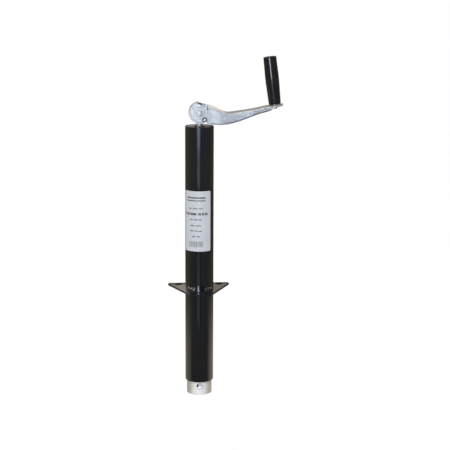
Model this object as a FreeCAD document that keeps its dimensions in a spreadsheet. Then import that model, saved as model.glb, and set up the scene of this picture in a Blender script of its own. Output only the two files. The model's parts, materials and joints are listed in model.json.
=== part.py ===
import FreeCAD, Part
import Sketcher, math, os
from FreeCAD import Vector, Placement, Rotation

# Top-wind A-frame trailer tongue jack.
# Millimetres, +Z up. The origin is on the tube axis at the underside of the mounting plate.
# The narrow edge of the plate faces -Y and the crank arm reaches towards +X.

SIZES = dict(
    # outer tube
    tube_top=333.0, tube_bottom=-190.5, tube_rad=28.575, tube_bore_rad=25.675, tube_lip=0.6,
    # mounting plate: truncated triangle with a 50 degree included angle
    plate_thick=4.0, plate_rear=36.7, plate_front=-60.4, plate_rear_half=65.4,
    plate_front_half=20.1, plate_corner=5.0, plate_edge_break=0.5,
    bolt_hole_rad=6.75, rear_bolt_across=41.275, rear_bolt_back=23.83, front_bolt_ahead=-47.66,
    # welds: the span of a bead, and its angle from the -Y or +Y direction, in degrees
    weld_leg=5.0, weld_span=40.0, weld_mid=36.0,
    # top cap
    cap_drop=0.8, cap_thick=3.2, cap_skirt=14.0, cap_wall=2.2, cap_hole_rad=6.4,
    cap_edge_rad=1.2, cap_hole_chamfer=0.5,
    # thrust bearing
    race_thick=3.0, race_rad=21.0, race_bore_rad=6.6, lower_race_bore_rad=9.525,
    lower_race_inset=1.0, ball_rad=3.175, ball_pitch_rad=15.0, ball_gap=0.05,
    ball_pocket_rad=3.275, cage_thick=2.4, cage_out_rad=19.6, cage_in_rad=10.4,
    # collar, screw and guide
    collar_rad=18.0, collar_high=9.0, collar_chamfer=1.0, collar_bore_chamfer=0.5,
    screw_rad=9.525, screw_root_rad=6.985, screw_low=-146.0, screw_socket_deep=22.0,
    screw_chamfer=1.5, thread_pitch=5.08, thread_crest=1.88, thread_root=1.88,
    thread_low=-136.0, thread_high=296.0, thread_cut_over=1.0,
    guide_thick=6.0, guide_bore_rad=9.65, guide_float=0.4, guide_chamfer=0.8,
    drive_pin_rad=2.5, drive_pin_half=17.5,
    stop_washer_rad=14.0, stop_washer_thick=3.0, stop_washer_chamfer=0.6,
    stop_pin_small_rad=2.0, stop_pin_small_half=11.5, stop_pin_small_up=5.0,
    # anti-rotation key and its groove in the ram
    key_mid=-178.0, key_half_high=4.0, key_half_wide=3.0, key_reach=24.2, key_sunk=0.45,
    groove_half_wide=3.2, groove_floor=23.9, groove_low=-186.5, groove_high=211.5,
    groove_cut_over=2.0,
    # ram and its nut
    ram_rad=25.4, ram_bore_rad=22.4, ram_bottom=-218.5, ram_top=269.5, ram_lip=0.5,
    foot_hole_rad=6.5, foot_hole_level=-199.6,
    nut_flange_rad=25.55, nut_flange_thick=5.0, nut_body_rad=22.4, nut_body_low=247.0,
    nut_bore_rad=9.62, nut_chamfer=1.0, nut_bore_chamfer=0.8,
    nut_pin_rad=2.5, nut_pin_level=258.0, nut_pin_deep=14.0, nut_pin_sunk=0.35,
    # crank; levels and distances along X are from the pivot
    pivot_above_cap=26.0, eye_rad=11.3, eye_half_wide=9.75, stem_rad=5.35,
    arm_half_wide=13.25, arm_sheet=2.6, ear_rad=21.2, arm_bend_rad=2.4, tongue_tip=165.6,
    pivot_rad=4.0, eye_hole_rad=4.06,
    pivot_head_rad=5.2, pivot_head_high=1.1, pivot_head_chamfer=1.0,
    washer_rad=8.5, washer_thick=0.85,
    stop_pin_rad=4.2, stop_pin_end_rad=2.4, stop_pin_step=1.9, stop_pin_chamfer=0.4,
    stop_pin_along=9.6, stop_pin_level=-13.0, stop_pin_half=14.1,
    # grip and spindle; the tilt is in degrees
    grip_tilt=6.9, spindle_along=149.5, spindle_level=15.6,
    spindle_rad=5.0, spindle_neck_rad=3.9,
    spindle_tail_rad=4.6, spindle_tail_high=6.0, spindle_tail_taper=1.2, spindle_tail_gap=0.06,
    spindle_head_rad=7.4, spindle_head_high=2.6, spindle_head_taper=2.0, spindle_head_gap=0.3,
    seat_recess_rad=10.5, seat_recess_high=6.0,
    tail_recess_rad=6.0, tail_recess_high=2.2, tail_recess_drop=2.25,
    grip_seat=1.2, grip_long=93.9, grip_base_rad=11.9, grip_mid_rad=13.65, grip_top_rad=12.75,
    grip_mid_up=49.0, grip_bore_rad=5.25, grip_recess_rad=8.0, grip_recess_deep=4.6,
    grip_round=1.4, grip_mid_step=2.0, grip_mid_fall_low=0.06, grip_mid_fall_high=0.04,
    spindle_washer_rad=9.5, spindle_washer_thick=1.0, spindle_washer_chamfer=0.2,
    # label sheet; its turn and angle are in degrees
    label_low=84.0, label_high=206.0, label_thick=0.15, label_turn=-106.0, label_angle=126.0,
)
BALL_COUNT = 12
NUT_PIN_COUNT = 3

ORIGIN = Vector(0, 0, 0)
Y_AXIS = Vector(0, 1, 0)
Z_AXIS = Vector(0, 0, 1)


class Size:
    """A length: its value now and the expression that keeps it bound to the sheet."""

    def __init__(self, value, text):
        self.value = value
        self.text = text

    @staticmethod
    def of(number):
        return number if isinstance(number, Size) else Size(float(number), repr(float(number)))

    def join(self, other, sign, value):
        return Size(value, "(%s %s %s)" % (self.text, sign, Size.of(other).text))

    def __add__(self, other):
        return self.join(other, "+", self.value + Size.of(other).value)

    def __sub__(self, other):
        return self.join(other, "-", self.value - Size.of(other).value)

    def __mul__(self, other):
        return self.join(other, "*", self.value * Size.of(other).value)

    def __neg__(self):
        return Size(-self.value, "(0 - %s)" % self.text)


class Group:
    """Holds one attribute for each alias of the sheet."""


doc = FreeCAD.newDocument("tongue_jack")
sheet = doc.addObject("Spreadsheet::Sheet", "Sizes")
for row, (name, number) in enumerate(SIZES.items(), 1):
    sheet.set("A%d" % row, name)
    sheet.set("B%d" % row, repr(number))
    sheet.setAlias("B%d" % row, name)
doc.recompute()

size = Group()   # sizes that stay bound to the sheet
plain = Group()  # the same sizes as numbers, for shapes built directly
for name in SIZES:
    setattr(plain, name, float(getattr(sheet, name)))
    setattr(size, name, Size(getattr(plain, name), "Sizes." + name))

nodes = []


# ---------------------------------------------------------------- helpers
def new_body(label):
    body = doc.addObject("PartDesign::Body", label)
    body.Label = label
    nodes.append(body)
    return body


def new_feature(label, shape):
    node = doc.addObject("Part::Feature", label)
    node.Label = label
    node.Shape = shape
    nodes.append(node)
    return node


def put(node, x, y, z, rotation=None):
    """Stand a node in its place; the place follows the sheet."""
    base = [Size.of(place) for place in (x, y, z)]
    node.Placement = Placement(Vector(*[place.value for place in base]), rotation or Rotation())
    for letter, place in zip("xyz", base):
        node.setExpression("Placement.Base." + letter, place.text)


def origin_part(body, role):
    return [part for part in body.Origin.OriginFeatures if part.Role == role][0]


def new_sketch(body, name, role, level=None):
    sketch = body.newObject("Sketcher::SketchObject", name)
    sketch.AttachmentSupport = [(origin_part(body, role), "")]
    sketch.MapMode = "FlatFace"
    if level is not None:
        level = Size.of(level)
        sketch.AttachmentOffset = Placement(Vector(0, 0, level.value), Rotation())
        sketch.setExpression("AttachmentOffset.Base.z", level.text)
    return sketch


def pin_point(sketch, geometry, position, x, y):
    """Tie a point to the sketch origin, or to an axis where its distance is zero."""
    for kind, distance, axis in (("DistanceX", x, -2), ("DistanceY", y, -1)):
        if abs(distance.value) < 1e-9:
            sketch.addConstraint(
                Sketcher.Constraint("PointOnObject", geometry, position, axis))
        else:
            index = sketch.addConstraint(
                Sketcher.Constraint(kind, -1, 1, geometry, position, distance.value))
            sketch.setExpression("Constraints[%d]" % index, distance.text)


def polygon(sketch, points):
    points = [(Size.of(x), Size.of(y)) for x, y in points]
    first = sketch.GeometryCount
    count = len(points)
    for i in range(count):
        start, end = points[i], points[(i + 1) % count]
        sketch.addGeometry(Part.LineSegment(Vector(start[0].value, start[1].value, 0),
                                            Vector(end[0].value, end[1].value, 0)), False)
    for i in range(count):
        sketch.addConstraint(
            Sketcher.Constraint("Coincident", first + i, 2, first + (i + 1) % count, 1))
    for i in range(count):
        pin_point(sketch, first + i, 1, *points[i])


def rectangle(left, low, right, high):
    return [(left, low), (right, low), (right, high), (left, high)]


def circle(sketch, x, y, radius):
    x, y, radius = Size.of(x), Size.of(y), Size.of(radius)
    geometry = sketch.addGeometry(
        Part.Circle(Vector(x.value, y.value, 0), Z_AXIS, radius.value), False)
    pin_point(sketch, geometry, 3, x, y)
    index = sketch.addConstraint(Sketcher.Constraint("Radius", geometry, radius.value))
    sketch.setExpression("Constraints[%d]" % index, radius.text)


def turned(label, points):
    """A turned part: a closed profile of (radius, z) points spun about Z."""
    body = new_body(label)
    sketch = new_sketch(body, label + "_profile", "XZ_Plane")
    polygon(sketch, points)
    turn = body.newObject("PartDesign::Revolution", label + "_turn")
    turn.Profile = sketch
    turn.ReferenceAxis = (sketch, ["V_Axis"])
    turn.Angle = 360.0
    doc.recompute()
    return body


def mirrored(upper):
    """A turned profile from its upper half, given from the axis outwards."""
    return [(radius, -z) for radius, z in upper] + upper[::-1]


def set_length(step, length, midplane):
    length = Size.of(length)
    step.Length = length.value
    step.setExpression("Length", length.text)
    if midplane:
        # The property has either name, depending on the release.
        if hasattr(step, "SideType"):
            step.SideType = "Symmetric"
        else:
            step.Midplane = True


def pad(body, sketch, length, midplane=False):
    step = body.newObject("PartDesign::Pad", sketch.Name + "_pad")
    step.Profile = sketch
    set_length(step, length, midplane)
    doc.recompute()
    return step


def flip(step):
    step.Reversed = not step.Reversed
    doc.recompute()


def pocket(body, sketch, depth, midplane=False, reverse=False):
    """Cut a pocket, turned to the other side if it removes nothing."""
    before = body.Shape.Volume
    step = body.newObject("PartDesign::Pocket", sketch.Name + "_cut")
    step.Profile = sketch
    set_length(step, depth, midplane)
    step.Reversed = reverse
    doc.recompute()
    if body.Shape.Volume > before - 1e-3:
        flip(step)
    if body.Shape.Volume > before - 1e-3:
        raise RuntimeError("the cut %s removed nothing" % sketch.Name)
    return step


def is_solid(body, x, y, z):
    return body.Shape.isInside(Vector(x, y, z), 1e-3, True)


def drill(body, name, role, x, y, radius, depth):
    """A round hole, cut to both sides of the origin plane."""
    sketch = new_sketch(body, name, role)
    circle(sketch, x, y, radius)
    pocket(body, sketch, depth, midplane=True)


def polar_pattern(body, name, original, axis, count):
    pattern = body.newObject("PartDesign::PolarPattern", name)
    pattern.Originals = [original]
    pattern.Axis = axis
    pattern.Angle = 360.0
    pattern.Occurrences = count
    body.Tip = pattern
    doc.recompute()


def fillet(body, name, edges, alias):
    base = body.Tip
    step = body.newObject("PartDesign::Fillet", name)
    step.Base = (base, edges)
    step.Radius = getattr(plain, alias)
    step.setExpression("Radius", "Sizes." + alias)
    doc.recompute()


def cross_pin(label, level, radius, half_long):
    """A plain round pin along X."""
    body = new_body(label)
    sketch = new_sketch(body, label + "_end", "YZ_Plane")
    circle(sketch, 0, level, radius)
    pad(body, sketch, half_long * 2.0, midplane=True)


# ---------------------------------------------------------------- levels shared by the parts
cap_top = size.tube_top - size.cap_drop
cap_under = cap_top - size.cap_thick
upper_race_low = cap_under - size.race_thick
ball_level = upper_race_low - size.ball_gap - size.ball_rad
lower_race_top = ball_level - size.ball_rad - size.ball_gap
lower_race_low = lower_race_top - size.race_thick
collar_low = lower_race_low - size.collar_high
drive_pin_level = lower_race_low - size.collar_high * 0.5
guide_top = collar_low - size.guide_float
guide_low = guide_top - size.guide_thick
stem_foot = lower_race_top - size.screw_socket_deep
small_pin_level = size.screw_low + size.stop_pin_small_up
pivot_level = size.tube_top + size.pivot_above_cap
key_outline = rectangle(-size.key_half_wide, size.key_mid - size.key_half_high,
                        size.key_half_wide, size.key_mid + size.key_half_high)

# ---------------------------------------------------------------- outer tube
tube = turned("outer_tube", [
    (size.tube_bore_rad, size.tube_bottom + size.tube_lip),
    (size.tube_bore_rad + size.tube_lip, size.tube_bottom),
    (size.tube_rad - size.tube_lip, size.tube_bottom),
    (size.tube_rad, size.tube_bottom + size.tube_lip),
    (size.tube_rad, size.tube_top - size.tube_lip),
    (size.tube_rad - size.tube_lip, size.tube_top),
    (size.tube_bore_rad, size.tube_top)])
# window for the anti-rotation key, in the +Y wall only
sketch = new_sketch(tube, "tube_key_window", "XZ_Plane")
polygon(sketch, key_outline)
cut = pocket(tube, sketch, depth=40.0)
if is_solid(tube, 0, (plain.tube_rad + plain.tube_bore_rad) / 2, plain.key_mid):
    flip(cut)


# ---------------------------------------------------------------- mounting plate
def upright_edges(shape):
    names = []
    for i, edge in enumerate(shape.Edges, 1):
        start, end = edge.Vertexes[0].Point, edge.Vertexes[-1].Point
        if abs(start.x - end.x) < 1e-6 and abs(start.y - end.y) < 1e-6:
            names.append("Edge%d" % i)
    return names


def top_rim_edges(shape):
    """The outer edges of the plate's top face, without the tube and bolt holes."""
    names = []
    for i, edge in enumerate(shape.Edges, 1):
        box = edge.BoundBox
        if box.ZLength >= 1e-6 or abs(box.Center.z - plain.plate_thick) >= 1e-6:
            continue
        middle = edge.valueAt((edge.FirstParameter + edge.LastParameter) / 2)
        bolt_hole = (edge.Curve.TypeId == "Part::GeomCircle"
                     and abs(edge.Curve.Radius - plain.bolt_hole_rad) < 0.01)
        if math.hypot(middle.x, middle.y) > plain.tube_rad + 1 and not bolt_hole:
            names.append("Edge%d" % i)
    return names


plate = new_body("mount_plate")
sketch = new_sketch(plate, "plate_outline", "XY_Plane")
polygon(sketch, [(-size.plate_rear_half, size.plate_rear),
                 (-size.plate_front_half, size.plate_front),
                 (size.plate_front_half, size.plate_front),
                 (size.plate_rear_half, size.plate_rear)])
pad(plate, sketch, size.plate_thick)
fillet(plate, "plate_corners", upright_edges(plate.Shape), "plate_corner")
drill(plate, "plate_tube_hole", "XY_Plane", 0, 0, size.tube_rad, depth=size.plate_thick * 3)
sketch = new_sketch(plate, "plate_bolt_holes", "XY_Plane")
circle(sketch, size.rear_bolt_across, size.rear_bolt_back, size.bolt_hole_rad)
circle(sketch, -size.rear_bolt_across, size.rear_bolt_back, size.bolt_hole_rad)
circle(sketch, 0, size.front_bolt_ahead, size.bolt_hole_rad)
pocket(plate, sketch, size.plate_thick * 3, midplane=True)
fillet(plate, "plate_edge_roll", top_rim_edges(plate.Shape), "plate_edge_break")


# ---------------------------------------------------------------- fillet welds, plate to tube
def weld_bead(middle_angle):
    leg, root_x, root_z = plain.weld_leg, plain.tube_rad, plain.plate_thick
    bulge = leg * 0.56
    root = Vector(root_x, 0, root_z)
    toe_out = Vector(root_x + leg, 0, root_z)
    toe_up = Vector(root_x, 0, root_z + leg)
    crown = Vector(root_x + bulge, 0, root_z + bulge)
    section = Part.Face(Part.Wire([Part.makeLine(root, toe_out),
                                   Part.Arc(toe_out, crown, toe_up).toShape(),
                                   Part.makeLine(toe_up, root)]))
    bead = section.revolve(ORIGIN, Z_AXIS, plain.weld_span)
    bead.rotate(ORIGIN, Z_AXIS, middle_angle - plain.weld_span / 2)
    return bead


new_feature("plate_welds", Part.makeCompound([
    weld_bead(side_angle + offset)
    for side_angle in (-90.0, 90.0)
    for offset in (plain.weld_mid, -plain.weld_mid)]))

# ---------------------------------------------------------------- top cap, pressed into the tube
turned("top_cap", [
    (size.cap_hole_rad, cap_under),
    (size.tube_bore_rad - size.cap_wall, cap_under),
    (size.tube_bore_rad - size.cap_wall, cap_top - size.cap_skirt),
    (size.tube_bore_rad, cap_top - size.cap_skirt),
    (size.tube_bore_rad, cap_top - size.cap_edge_rad),
    (size.tube_bore_rad - size.cap_edge_rad, cap_top),
    (size.cap_hole_rad + size.cap_hole_chamfer, cap_top),
    (size.cap_hole_rad, cap_top - size.cap_hole_chamfer)])

# ---------------------------------------------------------------- thrust bearing
turned("upper_race", rectangle(size.race_bore_rad, upper_race_low, size.race_rad, cap_under))
turned("lower_race", rectangle(size.lower_race_bore_rad, lower_race_low,
                               size.race_rad - size.lower_race_inset, lower_race_top))
cage = turned("bearing_cage", rectangle(
    size.cage_in_rad, ball_level - size.cage_thick * 0.5,
    size.cage_out_rad, ball_level + size.cage_thick * 0.5))
sketch = new_sketch(cage, "cage_pocket", "XY_Plane", ball_level)
circle(sketch, size.ball_pitch_rad, 0, size.ball_pocket_rad)
cut = pocket(cage, sketch, depth=12.0, midplane=True)
polar_pattern(cage, "cage_pockets", cut, (sketch, ["N_Axis"]), BALL_COUNT)

balls = []
for k in range(BALL_COUNT):
    angle = math.radians(360.0 / BALL_COUNT * k)
    balls.append(Part.makeSphere(plain.ball_rad, Vector(
        plain.ball_pitch_rad * math.cos(angle), plain.ball_pitch_rad * math.sin(angle),
        ball_level.value)))
new_feature("bearing_balls", Part.makeCompound(balls))

# ---------------------------------------------------------------- collar and screw guide
collar = turned("thrust_collar", [
    (size.screw_rad, collar_low + size.collar_bore_chamfer),
    (size.screw_rad + size.collar_bore_chamfer, collar_low),
    (size.collar_rad - size.collar_chamfer, collar_low),
    (size.collar_rad, collar_low + size.collar_chamfer),
    (size.collar_rad, lower_race_low),
    (size.screw_rad, lower_race_low)])
drill(collar, "collar_pin_hole", "YZ_Plane", 0, drive_pin_level, size.drive_pin_rad, depth=80.0)

turned("screw_guide", [
    (size.guide_bore_rad, guide_low), (size.tube_bore_rad, guide_low),
    (size.tube_bore_rad, guide_top), (size.guide_bore_rad + size.guide_chamfer, guide_top),
    (size.guide_bore_rad, guide_top - size.guide_chamfer)])

# ---------------------------------------------------------------- lead screw
# A turned bar with a socket in its top, then the thread as separate ring grooves at the pitch.
screw = turned("lead_screw", [
    (0, size.screw_low),
    (size.screw_root_rad - size.screw_chamfer, size.screw_low),
    (size.screw_root_rad, size.screw_low + size.screw_chamfer),
    (size.screw_root_rad, size.thread_low),
    (size.screw_rad, size.thread_low),
    (size.screw_rad, lower_race_top),
    (size.stem_rad, lower_race_top),
    (size.stem_rad, stem_foot),
    (0, stem_foot)])
sketch = new_sketch(screw, "thread_groove", "XZ_Plane")
flank = (size.thread_pitch - size.thread_crest - size.thread_root) * 0.5
thread_start = size.thread_low + size.thread_crest
thread_cut_rad = size.screw_rad + size.thread_cut_over
polygon(sketch, [
    (size.screw_root_rad, thread_start + flank),
    (thread_cut_rad, thread_start),
    (thread_cut_rad, thread_start + flank * 2.0 + size.thread_root),
    (size.screw_root_rad, thread_start + flank + size.thread_root)])
groove = screw.newObject("PartDesign::Groove", "thread_first")
groove.Profile = sketch
groove.ReferenceAxis = (sketch, ["V_Axis"])
groove.Angle = 360.0
doc.recompute()
thread_count = int((plain.thread_high - plain.thread_low) / plain.thread_pitch)
thread_rows = screw.newObject("PartDesign::LinearPattern", "thread_rows")
thread_rows.Originals = [groove]
thread_rows.Direction = (sketch, ["V_Axis"])
thread_rows.Length = plain.thread_pitch * (thread_count - 1)
thread_rows.setExpression("Length", "Sizes.thread_pitch * %d" % (thread_count - 1))
thread_rows.Occurrences = thread_count
screw.Tip = thread_rows
doc.recompute()
drill(screw, "screw_pin_hole", "YZ_Plane", 0, drive_pin_level, size.drive_pin_rad, depth=80.0)
drill(screw, "screw_stop_hole", "YZ_Plane", 0, small_pin_level, size.stop_pin_small_rad,
      depth=80.0)

# ---------------------------------------------------------------- screw pins and stop washer
cross_pin("drive_pin", drive_pin_level, size.drive_pin_rad, size.drive_pin_half)
stop_washer_low = small_pin_level + size.stop_pin_small_rad
stop_washer_top = stop_washer_low + size.stop_washer_thick
turned("stop_washer", [
    (size.screw_root_rad, stop_washer_low),
    (size.stop_washer_rad, stop_washer_low),
    (size.stop_washer_rad, stop_washer_top - size.stop_washer_chamfer),
    (size.stop_washer_rad - size.stop_washer_chamfer, stop_washer_top),
    (size.screw_root_rad, stop_washer_top)])
cross_pin("stop_washer_pin", small_pin_level, size.stop_pin_small_rad, size.stop_pin_small_half)

# ---------------------------------------------------------------- anti-rotation key
# Padded from the tube axis towards +Y, then cut back to its inner end.
key = new_body("guide_key")
sketch = new_sketch(key, "key_face", "XZ_Plane")
polygon(sketch, key_outline)
key_pad = pad(key, sketch, size.tube_rad - size.key_sunk)
if key.Shape.BoundBox.YMax < 1:
    key_pad.Reversed = True
    doc.recompute()
sketch = new_sketch(key, "key_inner_end", "XY_Plane", size.key_mid)
polygon(sketch, rectangle(-20.0, -5.0, 20.0, size.key_reach))
pocket(key, sketch, depth=30.0, midplane=True)

# ---------------------------------------------------------------- ram
ram = turned("ram_tube", [
    (size.ram_bore_rad, size.ram_bottom + size.ram_lip),
    (size.ram_bore_rad + size.ram_lip, size.ram_bottom),
    (size.ram_rad - size.ram_lip, size.ram_bottom),
    (size.ram_rad, size.ram_bottom + size.ram_lip),
    (size.ram_rad, size.ram_top),
    (size.ram_bore_rad, size.ram_top)])
drill(ram, "foot_pin_hole", "XZ_Plane", 0, size.foot_hole_level, size.foot_hole_rad, depth=120.0)
# the groove for the key runs upwards from its low end
sketch = new_sketch(ram, "key_groove", "XY_Plane", size.groove_low)
polygon(sketch, rectangle(-size.groove_half_wide, size.groove_floor,
                          size.groove_half_wide, size.ram_rad + size.groove_cut_over))
cut = pocket(ram, sketch, size.groove_high - size.groove_low, reverse=True)
if is_solid(ram, 0, plain.ram_rad - 0.3, plain.groove_high - 5):
    flip(cut)
sketch = new_sketch(ram, "nut_pin_hole", "YZ_Plane")
circle(sketch, 0, size.nut_pin_level, size.nut_pin_rad)
cut = pocket(ram, sketch, depth=60.0)
polar_pattern(ram, "nut_pin_holes", cut, (origin_part(ram, "Z_Axis"), [""]), NUT_PIN_COUNT)
# the first pin lies along +X or -X, whichever side the cut opened
pin_sign = -1.0 if is_solid(ram, plain.ram_rad - 1, 0, plain.nut_pin_level) else 1.0

# ---------------------------------------------------------------- ram nut and its pins
nut_top = size.ram_top + size.nut_flange_thick
nut = turned("ram_nut", [
    (size.nut_bore_rad, size.nut_body_low),
    (size.nut_body_rad - size.nut_chamfer, size.nut_body_low),
    (size.nut_body_rad, size.nut_body_low + size.nut_chamfer),
    (size.nut_body_rad, size.ram_top),
    (size.nut_flange_rad, size.ram_top),
    (size.nut_flange_rad, nut_top - size.nut_chamfer),
    (size.nut_flange_rad - size.nut_chamfer, nut_top),
    (size.nut_bore_rad + size.nut_bore_chamfer, nut_top),
    (size.nut_bore_rad, nut_top - size.nut_bore_chamfer)])
# the seats are cut from their floors outwards
sketch = new_sketch(nut, "nut_pin_seat", "YZ_Plane", size.nut_pin_deep * pin_sign)
circle(sketch, 0, size.nut_pin_level, size.nut_pin_rad)
cut = pocket(nut, sketch, depth=20.0, reverse=pin_sign > 0)
if is_solid(nut, (plain.nut_pin_deep + 3) * pin_sign, 0, plain.nut_pin_level):
    flip(cut)
polar_pattern(nut, "nut_pin_seats", cut, (origin_part(nut, "Z_Axis"), [""]), NUT_PIN_COUNT)

first_pin_angle = 0.0 if pin_sign > 0 else 180.0
nut_pin_long = plain.ram_rad - plain.nut_pin_sunk - plain.nut_pin_deep
nut_pins = []
for k in range(NUT_PIN_COUNT):
    angle = math.radians(first_pin_angle + 360.0 / NUT_PIN_COUNT * k)
    outwards = Vector(math.cos(angle), math.sin(angle), 0)
    inner_end = outwards * plain.nut_pin_deep + Vector(0, 0, plain.nut_pin_level)
    nut_pins.append(Part.makeCylinder(plain.nut_pin_rad, nut_pin_long, inner_end, outwards))
new_feature("nut_pins", Part.makeCompound(nut_pins))

# ---------------------------------------------------------------- crank eye on its stem
# Built about the pivot, then lifted to it.
eye = new_body("crank_eye")
sketch = new_sketch(eye, "eye_face", "XZ_Plane")
circle(sketch, 0, 0, size.eye_rad)
pad(eye, sketch, size.eye_half_wide * 2.0, midplane=True)
sketch = new_sketch(eye, "stem_section", "XY_Plane", stem_foot - pivot_level)
circle(sketch, 0, 0, size.stem_rad)
pad(eye, sketch, pivot_level - stem_foot)
drill(eye, "eye_hole", "XZ_Plane", 0, 0, size.eye_hole_rad, depth=60.0)
drill(eye, "stem_pin_hole", "YZ_Plane", 0, drive_pin_level - pivot_level, size.drive_pin_rad,
      depth=60.0)
put(eye, 0, 0, pivot_level)

# ---------------------------------------------------------------- crank arm, a stamped channel
# All points are (x, z) from the pivot.
tilt = math.radians(plain.grip_tilt)
# top of the web: a measured curve, then a straight run that carries the spindle
WEB_POINTS = [
    (15.6, 16.5), (24.0, 13.0), (34.0, 8.6), (44.0, 4.2), (52.0, 1.5),
    (59.0, 1.1), (68.0, 2.0), (91.0, 5.2), (112.0, 8.9), (125.0, 11.8),
] + [(x, plain.spindle_level + (x - plain.spindle_along) * math.tan(tilt))
     for x in (136.5, 143.0, 150.0, 158.0, plain.tongue_tip + 2.0)]
# lower edge of the side walls
LOW_POINTS = [
    (14.6, -20.9), (28.0, -22.6), (42.4, -23.1), (53.0, -22.3), (62.1, -20.4),
    (80.1, -15.3), (101.5, -7.3), (121.0, -0.6), (139.0, 4.7), (146.0, 7.6),
]
# steps between the web and the round ear, and between the ear and the lower edge
UPPER_STEP = [(15.6, 13.6), (13.2, 13.6), (13.2, 15.9), (5.0, 17.4)]
LOWER_STEP = [(11.4, -16.6), (14.6, -16.6)]
WALL_END = (150.0, 10.4)          # where the side walls end
TONGUE_START = (153.0, 13.4)      # where the outline joins the underside of the web
EAR_ANGLES = (98.0, 190.0, -60.5)  # start, middle and end of the ear, in degrees from +X
UNDER_STEPS = 26
FAR = 60.0                        # reach of the cutting shapes beyond the arm


def spline(points):
    curve = Part.BSplineCurve()
    curve.interpolate([Vector(x, 0, z) for x, z in points])
    return curve


def chain(points):
    return [Part.makeLine(Vector(x0, 0, z0), Vector(x1, 0, z1))
            for (x0, z0), (x1, z1) in zip(points, points[1:])]


def under_web(web):
    """Points one sheet thickness below the web curve."""
    points = []
    for k in range(UNDER_STEPS + 1):
        at = web.FirstParameter + (web.LastParameter - web.FirstParameter) * k / UNDER_STEPS
        point, along = web.value(at), web.tangent(at)[0]
        down = Vector(along.z, 0, -along.x)
        if down.z > 0:
            down = down * -1.0
        points.append((point.x + down.x * plain.arm_sheet, point.z + down.z * plain.arm_sheet))
    return points


def extrude_across(edges, half_wide):
    """The face inside the edges, extruded evenly to both sides of Y = 0."""
    wire = Part.Wire(Part.__sortEdges__(edges))
    if not wire.isClosed():
        raise RuntimeError("an outline of the crank arm is not closed")
    solid = Part.Face(wire).extrude(Vector(0, 2 * half_wide, 0))
    solid.translate(Vector(0, -half_wide, 0))
    return solid


def arm_outline(web, under):
    ear = [Vector(plain.ear_rad * math.cos(math.radians(angle)), 0,
                  plain.ear_rad * math.sin(math.radians(angle))) for angle in EAR_ANGLES]
    tail_start = under.parameter(Vector(TONGUE_START[0], 0, TONGUE_START[1]))
    joint = under.value(tail_start)
    tail = under.copy()
    tail.segment(tail_start, under.LastParameter)
    tail_end = tail.value(tail.LastParameter)
    return (chain([WEB_POINTS[0]] + UPPER_STEP + [(ear[0].x, ear[0].z)])
            + [Part.Arc(*ear).toShape()]
            + chain([(ear[2].x, ear[2].z)] + LOWER_STEP + [LOW_POINTS[0]])
            + [spline(LOW_POINTS).toShape()]
            + chain([LOW_POINTS[-1], WALL_END, (joint.x, joint.z)])
            + [tail.toShape()]
            + chain([(tail_end.x, tail_end.z), WEB_POINTS[-1]])
            + [web.toShape()])


def bend_edges(blank, web):
    """The two long edges that follow the web curve."""
    edges = []
    for edge in blank.Edges:
        box = edge.BoundBox
        if box.XMin < 15.8 and box.XMax > 160 and box.YLength < 1e-6 and edge.Length > 100:
            middle = edge.valueAt((edge.FirstParameter + edge.LastParameter) / 2)
            if abs(web.value(web.parameter(middle)).z - middle.z) < 0.05:
                edges.append(edge)
    return edges


def cross_hole(radius, x, z):
    return Part.makeCylinder(radius, 60.0, Vector(x, -30, z), Y_AXIS)


def crank_arm():
    half_wide = plain.arm_half_wide
    web = spline(WEB_POINTS)
    under_points = under_web(web)
    under = spline(under_points)
    blank = extrude_across(arm_outline(web, under), half_wide)
    if blank.Volume < 0:
        blank.reverse()
    rounded = blank.makeFillet(plain.arm_bend_rad, bend_edges(blank, web))

    # hollow the channel below the web and between the side walls
    first, last = under_points[0], under_points[-1]
    inside = extrude_across(
        [under.toShape()] + chain([last, (last[0], -FAR), (-FAR, -FAR), (-FAR, FAR),
                                   (first[0], FAR), first]),
        half_wide - plain.arm_sheet)
    arm = rounded.cut(inside)

    # round the tongue end in plan
    round_x = plain.tongue_tip - half_wide
    plan = Part.makeBox(round_x + FAR, 2 * half_wide, 2 * FAR, Vector(-FAR, -half_wide, -FAR))
    plan = plan.fuse(Part.makeCylinder(half_wide, 2 * FAR, Vector(round_x, 0, -FAR), Z_AXIS))
    arm = arm.common(plan)

    arm = arm.cut(cross_hole(plain.pivot_rad, 0, 0))
    arm = arm.cut(cross_hole(plain.stop_pin_rad, plain.stop_pin_along, plain.stop_pin_level))

    # room for the spindle: above the web, below the web, and through it
    lean = Vector(-math.sin(tilt), 0, math.cos(tilt))
    seat = Vector(plain.spindle_along, 0, plain.spindle_level)
    recess_low = seat - lean * (plain.arm_sheet + plain.tail_recess_drop)
    arm = arm.cut(Part.makeCylinder(plain.seat_recess_rad, plain.seat_recess_high, seat, lean))
    arm = arm.cut(
        Part.makeCylinder(plain.tail_recess_rad, plain.tail_recess_high, recess_low, lean))
    arm = arm.cut(Part.makeCylinder(plain.spindle_neck_rad, 40.0, seat - lean * 20.0, lean))
    return max(arm.Solids, key=lambda solid: solid.Volume)


put(new_feature("crank_arm", crank_arm()), 0, 0, pivot_level)

# ---------------------------------------------------------------- pivot rivet, washers, stop pin
along_y = Rotation(Vector(1, 0, 0), 90.0)
rivet_end = size.arm_half_wide + size.pivot_head_high
rivet = turned("pivot_rivet", mirrored([
    (0, rivet_end),
    (size.pivot_head_rad - size.pivot_head_chamfer, rivet_end),
    (size.pivot_head_rad, size.arm_half_wide + size.pivot_head_high * 0.4),
    (size.pivot_head_rad, size.arm_half_wide),
    (size.pivot_rad, size.arm_half_wide)]))
put(rivet, 0, 0, pivot_level, along_y)

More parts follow.
